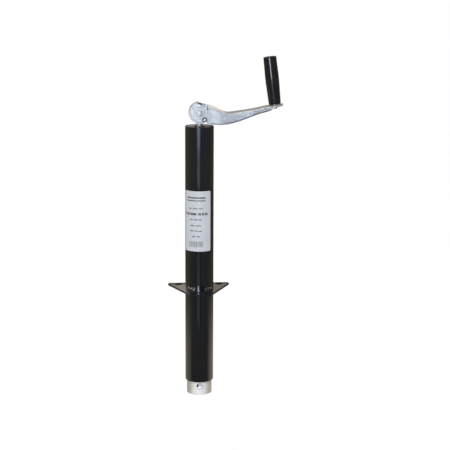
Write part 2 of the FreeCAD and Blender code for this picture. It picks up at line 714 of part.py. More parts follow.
# the washers lie against the inner faces of the side walls
washers = []
for side in (-1, 1):
    wall_y = side * (plain.arm_half_wide - plain.arm_sheet)
    inwards = Vector(0, -side, 0)
    disc = Part.makeCylinder(plain.washer_rad, plain.washer_thick, Vector(0, wall_y, 0), inwards)
    washers.append(disc.cut(
        Part.makeCylinder(plain.pivot_rad, 10.0, Vector(0, wall_y + side * 5.0, 0), inwards)))
put(new_feature("pivot_washers", Part.makeCompound(washers)), 0, 0, pivot_level)

stop_pin = turned("stop_pin", mirrored([
    (0, size.stop_pin_half),
    (size.stop_pin_end_rad - size.stop_pin_chamfer, size.stop_pin_half),
    (size.stop_pin_end_rad, size.stop_pin_half - size.stop_pin_chamfer),
    (size.stop_pin_end_rad, size.stop_pin_half - size.stop_pin_step),
    (size.stop_pin_rad, size.stop_pin_half - size.stop_pin_step)]))
put(stop_pin, size.stop_pin_along, 0, pivot_level + size.stop_pin_level, along_y)

# ---------------------------------------------------------------- grip spindle, washer and grip
# Each is turned about Z from the spindle seat, then leant towards -X with the tongue.
grip_top = size.grip_seat + size.grip_long
recess_floor = grip_top - size.grip_recess_deep
web_under = -size.arm_sheet
tail_low = web_under - size.spindle_tail_high
tail_top = web_under - size.spindle_tail_gap
head_low = recess_floor + size.spindle_head_gap
head_top = head_low + size.spindle_head_high
spindle = turned("grip_spindle", [
    (0, tail_low),
    (size.spindle_tail_rad - size.spindle_tail_taper, tail_low),
    (size.spindle_tail_rad, web_under - size.spindle_tail_high * 0.55),
    (size.spindle_tail_rad, tail_top),
    (size.spindle_neck_rad, tail_top),
    (size.spindle_neck_rad, 0),
    (size.spindle_rad, 0),
    (size.spindle_rad, head_low),
    (size.spindle_head_rad, head_low),
    (size.spindle_head_rad, head_low + size.spindle_head_high * 0.4),
    (size.spindle_head_rad - size.spindle_head_taper, head_top),
    (0, head_top)])
washer = turned("spindle_washer", [
    (size.spindle_rad, 0),
    (size.spindle_washer_rad, 0),
    (size.spindle_washer_rad, size.spindle_washer_thick - size.spindle_washer_chamfer),
    (size.spindle_washer_rad - size.spindle_washer_chamfer, size.spindle_washer_thick),
    (size.spindle_rad, size.spindle_washer_thick)])
edge_round = size.grip_round
grip_middle = size.grip_seat + size.grip_mid_up
grip = turned("crank_grip", [
    (size.grip_bore_rad, size.grip_seat),
    (size.grip_base_rad - edge_round, size.grip_seat),
    (size.grip_base_rad - edge_round * 0.3, size.grip_seat + edge_round * 0.3),
    (size.grip_base_rad, size.grip_seat + edge_round),
    (size.grip_mid_rad - size.grip_mid_fall_low, grip_middle - size.grip_mid_step),
    (size.grip_mid_rad, grip_middle),
    (size.grip_mid_rad - size.grip_mid_fall_high, grip_middle + size.grip_mid_step),
    (size.grip_top_rad, grip_top - edge_round),
    (size.grip_top_rad - edge_round * 0.3, grip_top - edge_round * 0.3),
    (size.grip_top_rad - edge_round, grip_top),
    (size.grip_recess_rad, grip_top),
    (size.grip_recess_rad, recess_floor),
    (size.grip_bore_rad, recess_floor)])
for node in (spindle, washer, grip):
    put(node, size.spindle_along, 0, pivot_level + size.spindle_level,
        Rotation(Y_AXIS, -plain.grip_tilt))

# ---------------------------------------------------------------- label sheet wrapped on the tube
label = Part.makeCylinder(
    plain.tube_rad + plain.label_thick, plain.label_high - plain.label_low,
    Vector(0, 0, plain.label_low), Z_AXIS, plain.label_angle)
label = label.cut(Part.makeCylinder(plain.tube_rad, 400.0, ORIGIN, Z_AXIS))
label.rotate(ORIGIN, Z_AXIS, plain.label_turn - plain.label_angle / 2)
new_feature("tube_label", label)

# ---------------------------------------------------------------- checks and export
doc.recompute()
faults = ["%s %s" % (item.Name, item.State) for item in doc.Objects
          if any(word in item.State for word in ("Invalid", "Error"))]
if len({node.Label for node in nodes}) != len(nodes):
    faults.append("two nodes share a label")
for node in nodes:
    shape = node.Shape
    if shape.isNull() or not shape.isValid() or not shape.Solids or shape.Volume <= 0:
        faults.append("shape of " + node.Label)
if faults:
    raise RuntimeError("; ".join(faults))
os.makedirs("parts", exist_ok=True)
for node in nodes:
    node.Shape.exportStep("parts/%s.step" % node.Label)
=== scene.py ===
# A telescopic leg with a folding crank.
# The outer tube stands on the Z axis with the ram tube inside it and a mount plate round it.
# The crank arm folds about an axis along Y through PIVOT, near the top, and reaches towards +X,
# where an upright grip spins on its seat. The camera looks from the front, which is -Y.
# Places are in metres; outlines of pieces are in millimetres.
import bpy
import bmesh
import json
import math
from functools import reduce
import numpy as np
from mathutils import Vector, Matrix


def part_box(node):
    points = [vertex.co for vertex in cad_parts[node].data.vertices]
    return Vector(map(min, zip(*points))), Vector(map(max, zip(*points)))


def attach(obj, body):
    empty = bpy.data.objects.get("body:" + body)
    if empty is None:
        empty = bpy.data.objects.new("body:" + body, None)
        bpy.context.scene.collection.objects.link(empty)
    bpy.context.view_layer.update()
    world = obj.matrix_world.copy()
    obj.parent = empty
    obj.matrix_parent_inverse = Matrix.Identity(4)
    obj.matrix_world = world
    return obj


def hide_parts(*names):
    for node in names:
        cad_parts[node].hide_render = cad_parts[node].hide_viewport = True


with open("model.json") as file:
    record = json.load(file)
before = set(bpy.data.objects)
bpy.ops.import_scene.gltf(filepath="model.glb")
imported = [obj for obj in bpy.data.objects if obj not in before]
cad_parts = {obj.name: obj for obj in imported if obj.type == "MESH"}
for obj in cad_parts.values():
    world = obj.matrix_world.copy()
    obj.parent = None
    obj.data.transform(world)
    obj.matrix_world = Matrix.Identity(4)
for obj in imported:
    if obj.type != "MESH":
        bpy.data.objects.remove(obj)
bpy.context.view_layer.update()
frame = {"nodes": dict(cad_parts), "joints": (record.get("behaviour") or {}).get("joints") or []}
scene = bpy.context.scene
MM = 0.001
Y_AXIS = Vector((0, 1, 0))

# ------------------------------------------------------------------ places, from the CAD nodes
tube_lo, tube_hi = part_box("outer_tube")
TUBE_RADIUS = (tube_hi.x - tube_lo.x) / 2 / MM
joints = {joint["name"]: joint for joint in frame["joints"]}
PIVOT = Vector(joints["crank_fold"]["pos_m"])
SEAT = Vector(joints["grip_spin"]["pos_m"])
LEAN = Vector(joints["grip_spin"]["axis"]).normalized()
plate_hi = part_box("mount_plate")[1]
PLATE_BACK = plate_hi.y
stop_lo, stop_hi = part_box("stop_pin")
STOP = (stop_lo + stop_hi) / 2
rivet_lo, rivet_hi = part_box("pivot_rivet")
ARM_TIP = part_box("crank_arm")[1].x / MM
label_lo, label_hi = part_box("tube_label")
RAM_HOLE_Z = -0.1996


# ------------------------------------------------------------------ shader graphs
class Value:
    """A shader socket; arithmetic on it adds nodes to its tree."""

    def __init__(self, tree, socket):
        self.tree = tree
        self.socket = socket

    def __add__(self, other):
        return self.tree.math("ADD", self, other)

    def __sub__(self, other):
        return self.tree.math("SUBTRACT", self, other)

    def __rsub__(self, other):
        return self.tree.math("SUBTRACT", other, self)

    def __mul__(self, other):
        return self.tree.math("MULTIPLY", self, other)

    def __truediv__(self, other):
        return self.tree.math("DIVIDE", self, other)

    def __pow__(self, other):
        return self.tree.math("POWER", self, other)

    def __abs__(self):
        return self.tree.math("ABSOLUTE", self)

    def sqrt(self):
        return self.tree.math("SQRT", self)

    def maximum(self, other):
        return self.tree.math("MAXIMUM", self, other)

    def ramp(self, start, end, first=0.0, last=1.0, kind="LINEAR"):
        """Goes from first to last as the value goes from start to end."""
        return self.tree.node("ShaderNodeMapRange", 0, {
            "Value": self, "From Min": start, "From Max": end, "To Min": first, "To Max": last,
        }, interpolation_type=kind)

    def ease(self, start, end, first=0.0, last=1.0):
        """A ramp with soft ends, rising unless told otherwise."""
        return self.ramp(start, end, first, last, "SMOOTHSTEP")

    def fade(self, start, end, first=1.0, last=0.0):
        """A ramp with soft ends, falling."""
        return self.ease(start, end, first, last)

    def band(self, rise_start, rise_end, fall_start, fall_end):
        """1 inside a band with soft sides, 0 outside it."""
        return self.ease(rise_start, rise_end) * self.fade(fall_start, fall_end)


class Tree:
    def __init__(self, graph):
        self.graph = graph
        graph.nodes.clear()

    def new(self, kind, **props):
        node = self.graph.nodes.new(kind)
        for key, value in props.items():
            setattr(node, key, value)
        return node

    def put(self, target, value):
        value = getattr(value, "socket", value)
        if isinstance(value, bpy.types.NodeSocket):
            self.graph.links.new(value, target)
        elif isinstance(value, tuple) and len(value) == 3 and len(target.default_value) == 4:
            target.default_value = (*value, 1.0)
        else:
            target.default_value = value

    def node(self, kind, output=0, inputs=None, **props):
        """Adds a node, fills its inputs and returns one output as a Value."""
        node = self.new(kind, **props)
        for key, value in (inputs or {}).items():
            self.put(node.inputs[key], value)
        return Value(self, node.outputs[output])

    def math(self, operation, first, second=0.0):
        return self.node("ShaderNodeMath", 0, {0: first, 1: second}, operation=operation)

    def mix(self, amount, first, second, blend="MIX"):
        return self.node("ShaderNodeMix", 2, {0: amount, 6: first, 7: second},
                         data_type="RGBA", blend_type=blend)

    def tint(self, colour, factor):
        return self.mix(1.0, colour, factor, "MULTIPLY")

    def axes(self, vector=None):
        node = self.new("ShaderNodeSeparateXYZ")
        self.put(node.inputs[0], vector or self.coords)
        return [Value(self, output) for output in node.outputs]

    def grey_ramp(self, value, stops):
        """A colour ramp with grey stops: (position, level), in order of position."""
        node = self.new("ShaderNodeValToRGB")
        self.put(node.inputs[0], value)
        elements = node.color_ramp.elements
        for index, stop in ((0, stops[0]), (len(elements) - 1, stops[-1])):
            elements[index].position = stop[0]
            elements[index].color = (stop[1],) * 3 + (1.0,)
        for position, level in stops[1:-1]:
            elements.new(position).color = (level, level, level, 1.0)
        return Value(self, node.outputs[0])


class Surface(Tree):
    """A material, shaded in object coordinates."""

    def __init__(self, name):
        self.material = bpy.data.materials.new(name)
        self.material.use_nodes = True
        super().__init__(self.material.node_tree)
        self.coords = self.node("ShaderNodeTexCoord", "Object")

    def normals(self):
        return self.axes(self.node("ShaderNodeTexCoord", "Normal"))

    def scaled(self, scale, turn=(0, 0, 0)):
        return self.node("ShaderNodeMapping", 0, {
            "Vector": self.coords, "Scale": scale, "Rotation": turn})

    def noise(self, scale, detail=3.0, rough=0.5, vector=None, warp=0.0):
        return self.node("ShaderNodeTexNoise", "Fac", {
            "Vector": vector or self.coords, "Scale": scale, "Detail": detail,
            "Roughness": rough, "Distortion": warp})

    def streaks(self, scale, detail=3.0, rough=0.5, turn=(0, 0, 0)):
        """Noise with its own scale along each axis."""
        return self.noise(1.0, detail, rough, self.scaled(scale, turn))

    def cells(self, scale, output, vector=None):
        return self.node("ShaderNodeTexVoronoi", output, {
            "Vector": vector or self.coords, "Scale": scale})

    def cell_value(self, scale, vector=None):
        """One random level for each cell."""
        return self.node("ShaderNodeSeparateColor", 0, {0: self.cells(scale, "Color", vector)})

    def bump(self, normal, height, strength, depth):
        inputs = {"Strength": strength, "Distance": depth, "Height": height}
        if normal is not None:
            inputs["Normal"] = normal
        return self.node("ShaderNodeBump", 0, inputs)

    def soft_edge(self, radius):
        return self.node("ShaderNodeBevel", 0, {"Radius": radius}, samples=6)

    def edge(self, radius, start, end):
        """1 on a sharp edge, 0 on a face."""
        bevel = self.soft_edge(radius)
        face = self.node("ShaderNodeNewGeometry", "Normal")
        dot = self.node("ShaderNodeVectorMath", "Value", {0: bevel, 1: face},
                        operation="DOT_PRODUCT")
        return (1.0 - dot).ease(start, end)

    def output(self, shader):
        self.put(self.new("ShaderNodeOutputMaterial").inputs[0], shader)
        return self.material

    def finish(self, **values):
        """Closes the material with a principled shader; _ stands for a space in input names."""
        return self.output(self.node("ShaderNodeBsdfPrincipled", 0, {
            key.replace("_", " "): value for key, value in values.items()}))


def distance_mm(first, second):
    """Length in mm of a pair of offsets in metres."""
    return (first * first + second * second).sqrt() * 1000.0


# ------------------------------------------------------------------ curves of the crank arm
# All in mm from the pivot.
ARM_HALF = 13.25          # half width
SHEET = 2.6               # sheet thickness
EAR_RADIUS = 21.2         # round end about the pivot
NECK_X = 15.6             # where the ear meets the channel
SLOT_X = 14.6             # channel side of the relief slot
SEAT_X = (SEAT.x - PIVOT.x) / MM
SEAT_Z = (SEAT.z - PIVOT.z) / MM
SEAT_SLOPE = math.tan(math.atan2(-LEAN.x, LEAN.z))


def smooth_curve(points):
    """Natural cubic through (x, y) points, as a function of x."""
    xs, ys = np.array(points, float).T
    count = len(xs)
    step = np.diff(xs)
    matrix = np.zeros((count, count))
    right = np.zeros(count)
    matrix[0, 0] = matrix[-1, -1] = 1.0
    for i in range(1, count - 1):
        matrix[i, i - 1:i + 2] = step[i - 1], 2 * (step[i - 1] + step[i]), step[i]
        right[i] = 6 * ((ys[i + 1] - ys[i]) / step[i] - (ys[i] - ys[i - 1]) / step[i - 1])
    bend = np.linalg.solve(matrix, right)

    def curve(x):
        i = int(np.clip(np.searchsorted(xs, x) - 1, 0, count - 2))
        after, before, width = xs[i + 1] - x, x - xs[i], step[i]
        return float((bend[i] * after ** 3 + bend[i + 1] * before ** 3) / (6 * width)
                     + (ys[i] / width - bend[i] * width / 6) * after
                     + (ys[i + 1] / width - bend[i + 1] * width / 6) * before)

    return curve


def line_through(points):
    """Straight pieces through (x, y) points, level beyond the ends."""
    xs, ys = zip(*points)
    return lambda x: float(np.interp(x, xs, ys))


# (x, z) of the top of the web; the end is a straight line square to the grip
web_z = smooth_curve([
    (15.6, 16.5), (24.0, 13.0), (34.0, 8.6), (44.0, 4.2), (52.0, 1.5), (59.0, 1.1),
    (68.0, 2.0), (91.0, 5.2), (112.0, 8.9), (125.0, 11.8),
] + [(x, SEAT_Z + (x - SEAT_X) * SEAT_SLOPE) for x in (136.5, 143.0, 150.0, 158.0, ARM_TIP + 2.0)])

# (x, z) of the lower edge of the side walls
LOW_EDGE = [
    (14.6, -20.9), (28.0, -22.6), (42.4, -23.1), (53.0, -22.3), (62.1, -20.4), (80.1, -15.3),
    (101.5, -7.3), (121.0, -0.6), (139.0, 4.7), (146.0, 7.6),
]
low_z = smooth_curve(LOW_EDGE)

# (x, outer radius) of the bend between web and side wall
bend_radius = line_through([
    (15.6, 9.5), (22.0, 8.2), (28.0, 7.0), (38.0, 5.6), (50.0, 4.6), (70.0, 3.8),
    (100.0, 3.3), (170.0, 3.1),
])


# ------------------------------------------------------------------ black paint
def cap_sheen_and_shade(tree, x, y, facing_up, colour, haze, wear):
    """Painted sheen, paler towards the back; painted shade round the stem foot and in a strip to
    the front.
    """
    radius = distance_mm(x, y)
    # painted sheen: paler towards the back, with darker patches
    dust_and_sheen = tree.mix(y.ease(-0.012, 0.022), (0.085, 0.080, 0.074), (0.34, 0.335, 0.325))
    dust_and_sheen = tree.mix(haze.ease(0.40, 0.66, last=0.35), dust_and_sheen, (0.05, 0.048, 0.045))
    # painted shade round the stem foot
    dust_and_sheen = tree.mix(radius.fade(9.5, 14.0), dust_and_sheen, (0.004, 0.004, 0.004))
    colour = tree.mix(facing_up, colour, dust_and_sheen)
    # painted shade in a strip from the middle to the front, with the reflection turned down there
    aside = abs(x).ease(0.0070, 0.0115)
    front = y.fade(-0.004, 0.002)
    colour = tree.mix((1.0 - aside) * (front * facing_up), colour, (0.010, 0.010, 0.011))
    return colour, radius.ease(9.5, 15.0, last=0.5) * aside.maximum(1.0 - front)


def plate_dull_edge_and_sheen(tree, x, y, facing_up, colour, haze, wear):
    """Thin dull coat along the rear edge, painted sheen beside the tube."""
    specular = y.ease(PLATE_BACK - 0.019, PLATE_BACK - 0.010, first=0.5, last=0.06)
    # painted sheen on the top face beside the tube, broken up by the wear noise
    sheen_patch = x.band(-0.052, -0.036, -0.030, -0.020)
    sheen_patch = sheen_patch * (facing_up * y.fade(PLATE_BACK - 0.022, PLATE_BACK - 0.012))
    colour = tree.mix(sheen_patch * wear.ramp(0.0, 1.0, first=0.75), colour, (0.135, 0.118, 0.100))
    return colour, specular


def weld_crests(tree, x, y, facing_up, colour, haze, wear):
    """Painted highlights: pale patches on top of the beads, away from the middle."""
    crest_highlight = facing_up * tree.noise(230.0, detail=4.0, rough=0.65).ease(0.44, 0.58)
    crest_highlight = crest_highlight * abs(x).ease(0.0065, 0.0095)
    return tree.mix(crest_highlight, colour, (0.23, 0.205, 0.165)), 0.5


def black_paint(name="black_paint", dull=0.0, detail=None):
    """Gloss paint; dull is added roughness, detail adds what one piece alone shows."""
    tree = Surface(name)
    peel = tree.noise(420.0, detail=2.0)
    wave = tree.noise(60.0, detail=2.0, rough=0.4)
    speck = tree.cells(900.0, "Distance").ramp(0.0, 0.10, first=1.0, last=0.0)
    rare = tree.cell_value(900.0).ramp(0.965, 0.97)
    dust_and_sheen = speck * rare
    haze = tree.noise(14.0, detail=5.0, rough=0.62)
    wear = tree.noise(160.0, detail=4.0, rough=0.6).ease(0.55, 0.72)
    worn = tree.edge(0.0007, start=0.05, end=0.45) * wear
    colour = tree.mix(haze.ramp(0.35, 0.7), (0.0038, 0.0038, 0.0042), (0.0068, 0.0064, 0.0062))
    colour = tree.mix(dust_and_sheen * 0.5, colour, (0.05, 0.05, 0.05))
    colour = tree.mix(worn * 0.35, colour, (0.10, 0.095, 0.09))
    specular = 0.5
    if detail:
        x, y, _ = tree.axes()
        facing_up = tree.normals()[2].ease(0.45, 0.85)
        colour, specular = detail(tree, x, y, facing_up, colour, haze, wear)
    scratch = tree.streaks((900.0, 900.0, 35.0), turn=(0.2, 0.1, 0.3))
    rough = haze.ramp(0.3, 0.75, first=0.045 + dull, last=0.11 + dull)
    rough = rough + scratch.ramp(0.62, 0.75) * 0.05
    rough = rough + worn * 0.25
    normal = tree.soft_edge(0.0005)
    normal = tree.bump(normal, peel, strength=0.10, depth=0.00022)
    normal = tree.bump(normal, wave, strength=0.10, depth=0.0008)
    normal = tree.bump(normal, dust_and_sheen, strength=0.25, depth=0.0002)
    return tree.finish(Base_Color=colour, Roughness=rough, Normal=normal, IOR=1.5,
                       Coat_Weight=0.0 if detail else 0.25, Coat_Roughness=0.03,
                       Specular_IOR_Level=specular)


# ------------------------------------------------------------------ zinc
ZINC_METALLIC = 0.55
ARM_TONE = 0.645          # the arm is darker than the other plated pieces

# (x in mm, brightness) along the pressing: painted light and shade
ARM_PAINTED_SHADE = [
    (-20, 0.98), (8, 0.90), (16, 0.92), (30, 1.08), (38, 0.94), (54, 0.68), (66, 0.72),
    (79, 0.90), (97, 0.92), (110, 0.80), (122, 0.80), (138, 0.92), (166, 0.85),
]
# x in mm where the shading samples the lower edge
LIP_STATIONS = [10.0, 28.0, 42.4, 53.0, 62.1, 71.0, 80.1, 91.0, 101.5, 111.0, 121.0, 130.0,
                139.0, 160.0]


def lip_height(x):
    """Height of the lower edge, with -25..25 mm mapped to 0..1."""
    return (low_z(min(max(x, LOW_EDGE[0][0]), LOW_EDGE[-1][0])) + 25.0) / 50.0


def arm_marks(tree, colour):
    """What only the crank arm shows; returns colour, metallic and the coined ring."""
    colour = tree.tint(colour, (ARM_TONE, 0.992 * ARM_TONE, 0.965 * ARM_TONE))
    x, y, z = tree.axes()
    normals = tree.normals()
    # painted light and shade along the arm
    colour = tree.tint(colour, tree.grey_ramp(
        x.ramp(-0.025, 0.175), [((at + 25.0) / 200.0, level) for at, level in ARM_PAINTED_SHADE]))
    # painted shade on the upper face, with a painted highlight near the pivot; the upper face is
    # also more metallic
    up = normals[2].ease(0.30, 0.80)
    upper_shade = up * x.ease(0.030, 0.060, first=0.35)
    colour = tree.mix(upper_shade, colour, (0.36, 0.35, 0.325))
    # painted highlight on the upper face near the pivot
    near = up * x.fade(0.044, 0.060)
    colour = tree.mix(near * 0.8, colour, (0.84, 0.80, 0.76))
    metallic = upper_shade.ramp(0.0, 1.0, first=ZINC_METALLIC, last=0.93)
    # painted shade on the inner faces, darkest in the gap between the ears by the pivot
    inner = ((y * normals[1]) * -1000.0).ease(1.0, 5.0)
    reach = ((x - PIVOT.x) ** 2.0 + (z - PIVOT.z) ** 2.0).sqrt() * 1000.0
    gap = x.band(-0.0045, -0.0025, 0.0035, 0.0060) * reach.fade(17.4, 18.2)
    colour = tree.mix(inner * gap.ramp(0.0, 1.0, first=0.25, last=0.98), colour,
                      (0.045, 0.042, 0.040))
    # dark lip along the lower edge
    low_edge = tree.grey_ramp(x.ramp(0.010, 0.160),
                              [((at - 10.0) / 150.0, lip_height(at)) for at in LIP_STATIONS])
    above = (z - PIVOT.z) * 1000.0 - low_edge.ramp(0.0, 1.0, first=-25.0, last=25.0)
    lip = above.fade(1.9, 3.6) * x.ease(0.016, 0.022)
    colour = tree.mix(lip * x.ramp(0.045, 0.085, first=0.62, last=0.93), colour,
                      (0.085, 0.085, 0.090))
    # coined circle round the pivot with a painted highlight along it, and the rim line of the ear
    # on its -X side
    from_pivot = x - PIVOT.x
    radius = distance_mm(from_pivot, z - PIVOT.z)
    ring = radius.band(13.2, 13.9, 14.7, 15.5)
    rim = radius.band(17.3, 18.0, 18.2, 18.9)
    left = from_pivot.fade(-0.004, 0.006)
    # painted highlight along the coined circle
    colour = tree.mix(ring * 0.22, colour, (0.80, 0.84, 0.90))
    colour = tree.mix((rim * left) * 0.40, colour, (0.36, 0.37, 0.40))
    # dirt round the pivot
    smudge = radius.fade(8.0, 11.5)
    smudge = smudge * tree.noise(190.0, detail=4.0, rough=0.65).ease(0.46, 0.62)
    colour = tree.mix(smudge * 0.60, colour, (0.30, 0.30, 0.32))
    # painted shade round the stop pin
    from_stop = distance_mm(x - STOP.x, z - STOP.z)
    colour = tree.mix(from_stop.fade(4.9, 6.2, first=0.75), colour, (0.14, 0.135, 0.13))
    return colour, metallic, ring


def zinc(name="zinc_plate", tint=(0.66, 0.70, 0.75), dark=(0.52, 0.555, 0.60),
         warm=(0.66, 0.62, 0.57), rough=(0.30, 0.46), grain_size=500.0, edge_highlight=0.35, arm=False):
    tree = Surface(name)
    cloud = tree.noise(34.0, detail=5.0, rough=0.62, warp=0.5)
    fine = tree.noise(grain_size, detail=4.0, rough=0.6, vector=tree.scaled((1.0, 1.0, 1.0)))
    spangle = tree.cell_value(300.0, tree.scaled((1.0, 1.0, 1.0)))
    pits = tree.noise(620.0, rough=0.6).fade(0.30, 0.40)
    stain = tree.noise(75.0, detail=5.0, rough=0.7, warp=0.8).ease(0.56, 0.70)
    colour = tree.mix(cloud.ease(0.38, 0.64), tint, dark)
    colour = tree.mix(tree.noise(11.0).ease(0.48, 0.66) * 0.35, colour, warm)
    colour = tree.mix(spangle * 0.14, colour, (0.84, 0.87, 0.92))
    colour = tree.mix(stain * 0.30, colour, (0.36, 0.36, 0.37))
    colour = tree.mix(pits * 0.45, colour, (0.28, 0.28, 0.29))
    metallic = ZINC_METALLIC
    if arm:
        colour, metallic, ring = arm_marks(tree, colour)
    # painted highlight along the edges
    edge = tree.edge(0.0006, start=0.04, end=0.4)
    colour = tree.mix(edge * edge_highlight, colour, (0.86, 0.87, 0.89))
    roughness = fine.ramp(0.3, 0.7, first=rough[0], last=rough[1])
    roughness = roughness + cloud.ramp(0.35, 0.7) * 0.08
    normal = tree.soft_edge(0.0004)
    normal = tree.bump(normal, cloud, strength=0.22, depth=0.0016)
    normal = tree.bump(normal, fine, strength=0.16, depth=0.00016)
    normal = tree.bump(normal, pits, strength=0.15, depth=0.0001)
    if arm:
        normal = tree.bump(normal, ring, strength=0.5, depth=0.0003)
    return tree.finish(Base_Color=colour, Metallic=metallic, Roughness=roughness, Normal=normal)


def ram_zinc():
    """Drawn tube: streaks along Z, scuffs across it, painted light and shade in the bore and round
    the cross hole.
    """
    tree = Surface("zinc_ram")
    z = tree.axes()[2]
    normals = tree.normals()
    draw = tree.streaks((900.0, 900.0, 14.0), detail=4.0, rough=0.6)
    cloud = tree.noise(45.0, detail=5.0, rough=0.6)
    scuff = tree.streaks((260.0, 260.0, 900.0), detail=4.0, rough=0.7).ease(0.60, 0.72)
    near_foot = z.fade(-0.2185, -0.150, last=0.15)
    colour = tree.mix(cloud.ramp(0.35, 0.7), (0.88, 0.885, 0.87), (0.76, 0.765, 0.75))
    colour = tree.mix((scuff * near_foot) * 0.40, colour, (0.42, 0.40, 0.37))
    # painted highlight along the edges
    colour = tree.mix(tree.edge(0.0006, start=0.05, end=0.4) * 0.5, colour, (0.9, 0.9, 0.9))
    x = tree.axes()[0]
    y = tree.axes()[1]
    inside = (x * normals[0] + y * normals[1]).ease(-0.004, -0.016)
    # painted shade: darker where the surface turns away from view
    turned = tree.node("ShaderNodeLayerWeight", "Facing", {"Blend": 0.5}).ease(0.03, 0.42)
    colour = tree.mix(turned, colour, tree.tint(colour, (0.46, 0.44, 0.41)))
    # painted light and shade on the inner faces: near white towards +X, near black towards -X
    bore_light_and_shade = tree.mix(x.fade(-0.0020, 0.0008), (0.97, 0.98, 1.0), (0.012, 0.011, 0.011))
    colour = tree.mix(inside, colour, bore_light_and_shade)
    # painted shade on the wall of the cross hole
    hole = distance_mm(x, z - RAM_HOLE_Z)
    colour = tree.mix(hole.fade(6.52, 6.75), colour,
                      tree.mix(inside, (0.030, 0.030, 0.032), colour))
    rough = draw.ramp(0.3, 0.7, first=0.28, last=0.44) + scuff * 0.10
    normal = tree.soft_edge(0.0004)
    normal = tree.bump(normal, draw, strength=0.12, depth=0.00012)
    normal = tree.bump(normal, scuff, strength=0.12, depth=0.0001)
    return tree.finish(Base_Color=colour, Metallic=inside.ramp(0.0, 1.0, first=0.35, last=0.0),
                       Roughness=rough, Normal=normal)


# ------------------------------------------------------------------ steel, plastic and film
def turned_steel(name, tint, dark, rough=(0.22, 0.36), rings=2600.0, stain=0.3):
    """Lathe-turned metal; rings is how close the tool marks lie along Z, stain is the oil."""
    tree = Surface(name)
    ring = tree.streaks((25.0, 25.0, rings), detail=2.0)
    cloud = tree.noise(55.0, detail=4.0, rough=0.6)
    colour = tree.mix(cloud.ramp(0.4, 0.7), tint, dark)
    oil = tree.noise(24.0, rough=0.6).ease(0.5, 0.62)
    colour = tree.mix(oil * stain, colour, tuple(0.55 * level for level in dark))
    # painted highlight along the edges
    colour = tree.mix(tree.edge(0.0004, start=0.05, end=0.4) * 0.4, colour,
                      tuple(min(1.0, 1.25 * level) for level in tint))
    normal = tree.soft_edge(0.0003)
    normal = tree.bump(normal, ring, strength=0.12, depth=0.00006)
    normal = tree.bump(normal, cloud, strength=0.05, depth=0.0003)
    return tree.finish(Base_Color=colour, Metallic=1.0, Normal=normal,
                       Roughness=ring.ramp(0.3, 0.7, first=rough[0], last=rough[1]))


def stop_finish():
    """Pin worn bright on its end faces, black oxide in the step."""
    tree = Surface("spring_steel_pin")
    x, _, z = tree.axes()
    radius = distance_mm(x - STOP.x, z - STOP.z)
    ring = tree.streaks((1800.0, 30.0, 1800.0), detail=2.0)
    cloud = tree.noise(160.0, detail=4.0, rough=0.6)
    bright = radius.fade(2.1, 2.5)
    dark = tree.mix(cloud, (0.020, 0.019, 0.018), (0.055, 0.052, 0.048))
    worn = tree.mix(cloud, (0.80, 0.84, 0.88), (0.60, 0.63, 0.66))
    normal = tree.bump(tree.soft_edge(0.0003), ring, strength=0.15, depth=0.00006)
    normal = tree.bump(normal, cloud, strength=0.10, depth=0.0002)
    return tree.finish(Base_Color=tree.mix(bright, dark, worn), Normal=normal,
                       Metallic=bright.ramp(0.0, 1.0, first=0.9, last=0.45),
                       Roughness=ring.ramp(0.3, 0.7, first=0.32, last=0.5))


def grip_plastic():
    tree = Surface("black_grip")
    skin = tree.noise(1500.0, detail=2.0)
    sink = tree.noise(75.0, detail=2.0, rough=0.4)
    smear = tree.noise(38.0, detail=5.0, rough=0.65, warp=0.6)
    mark = tree.streaks((500.0, 500.0, 120.0), rough=0.6, turn=(0.5, 0.2, 0.0)).ease(0.66, 0.74)
    colour = tree.mix(smear.ramp(0.35, 0.7), (0.0042, 0.0042, 0.0046), (0.0080, 0.0080, 0.0086))
    colour = tree.mix(mark * 0.3, colour, (0.035, 0.035, 0.035))
    rough = smear.ramp(0.3, 0.75, first=0.09, last=0.19) + mark * 0.12
    normal = tree.soft_edge(0.0005)
    normal = tree.bump(normal, skin, strength=0.05, depth=0.00006)
    normal = tree.bump(normal, sink, strength=0.07, depth=0.0007)
    return tree.finish(Base_Color=colour, Roughness=rough, Normal=normal, IOR=1.5,
                       Specular_IOR_Level=0.36)


LABEL_TURN = math.radians(-106.0)     # direction the middle of the label faces
LABEL_SPAN = math.radians(126.0)      # angle it covers round the tube
LABEL_MID = (label_lo.z + label_hi.z) / 2
# printed rows in mm from the middle: bottom, top, ink strength, (start, end) of each bar
LABEL_ROWS = [
    (46.2, 49.2, 0.95, [(-21.4, 19.0)]),
    (40.8, 43.0, 0.95, [(-21.4, 19.0)]),
    (25.0, 27.0, 0.86, [(-16.6, -10.0), (-7.6, 2.4), (4.6, 13.2)]),
    (12.6, 17.4, 0.95, [(-27.0, -23.4), (-21.4, -15.0), (-13.2, 0.6), (4.0, 9.6), (11.4, 16.0),
                        (17.6, 23.4)]),
    (2.4, 4.8, 0.86, [(-14.0, -6.6), (-4.4, 3.0), (5.0, 10.8)]),
    (-9.6, -7.4, 0.86, [(-12.6, -4.0), (-1.4, 10.0)]),
    (-20.4, -18.2, 0.86, [(-13.6, -5.0), (-3.0, 3.2), (5.2, 11.6)]),
    (-31.8, -29.6, 0.86, [(-9.6, -1.4), (0.4, 7.6)]),
]
STRIPES_ACROSS = (-15.2, 14.6)        # block of upright stripes, mm from the middle
STRIPES_UP = (-52.0, -40.4)


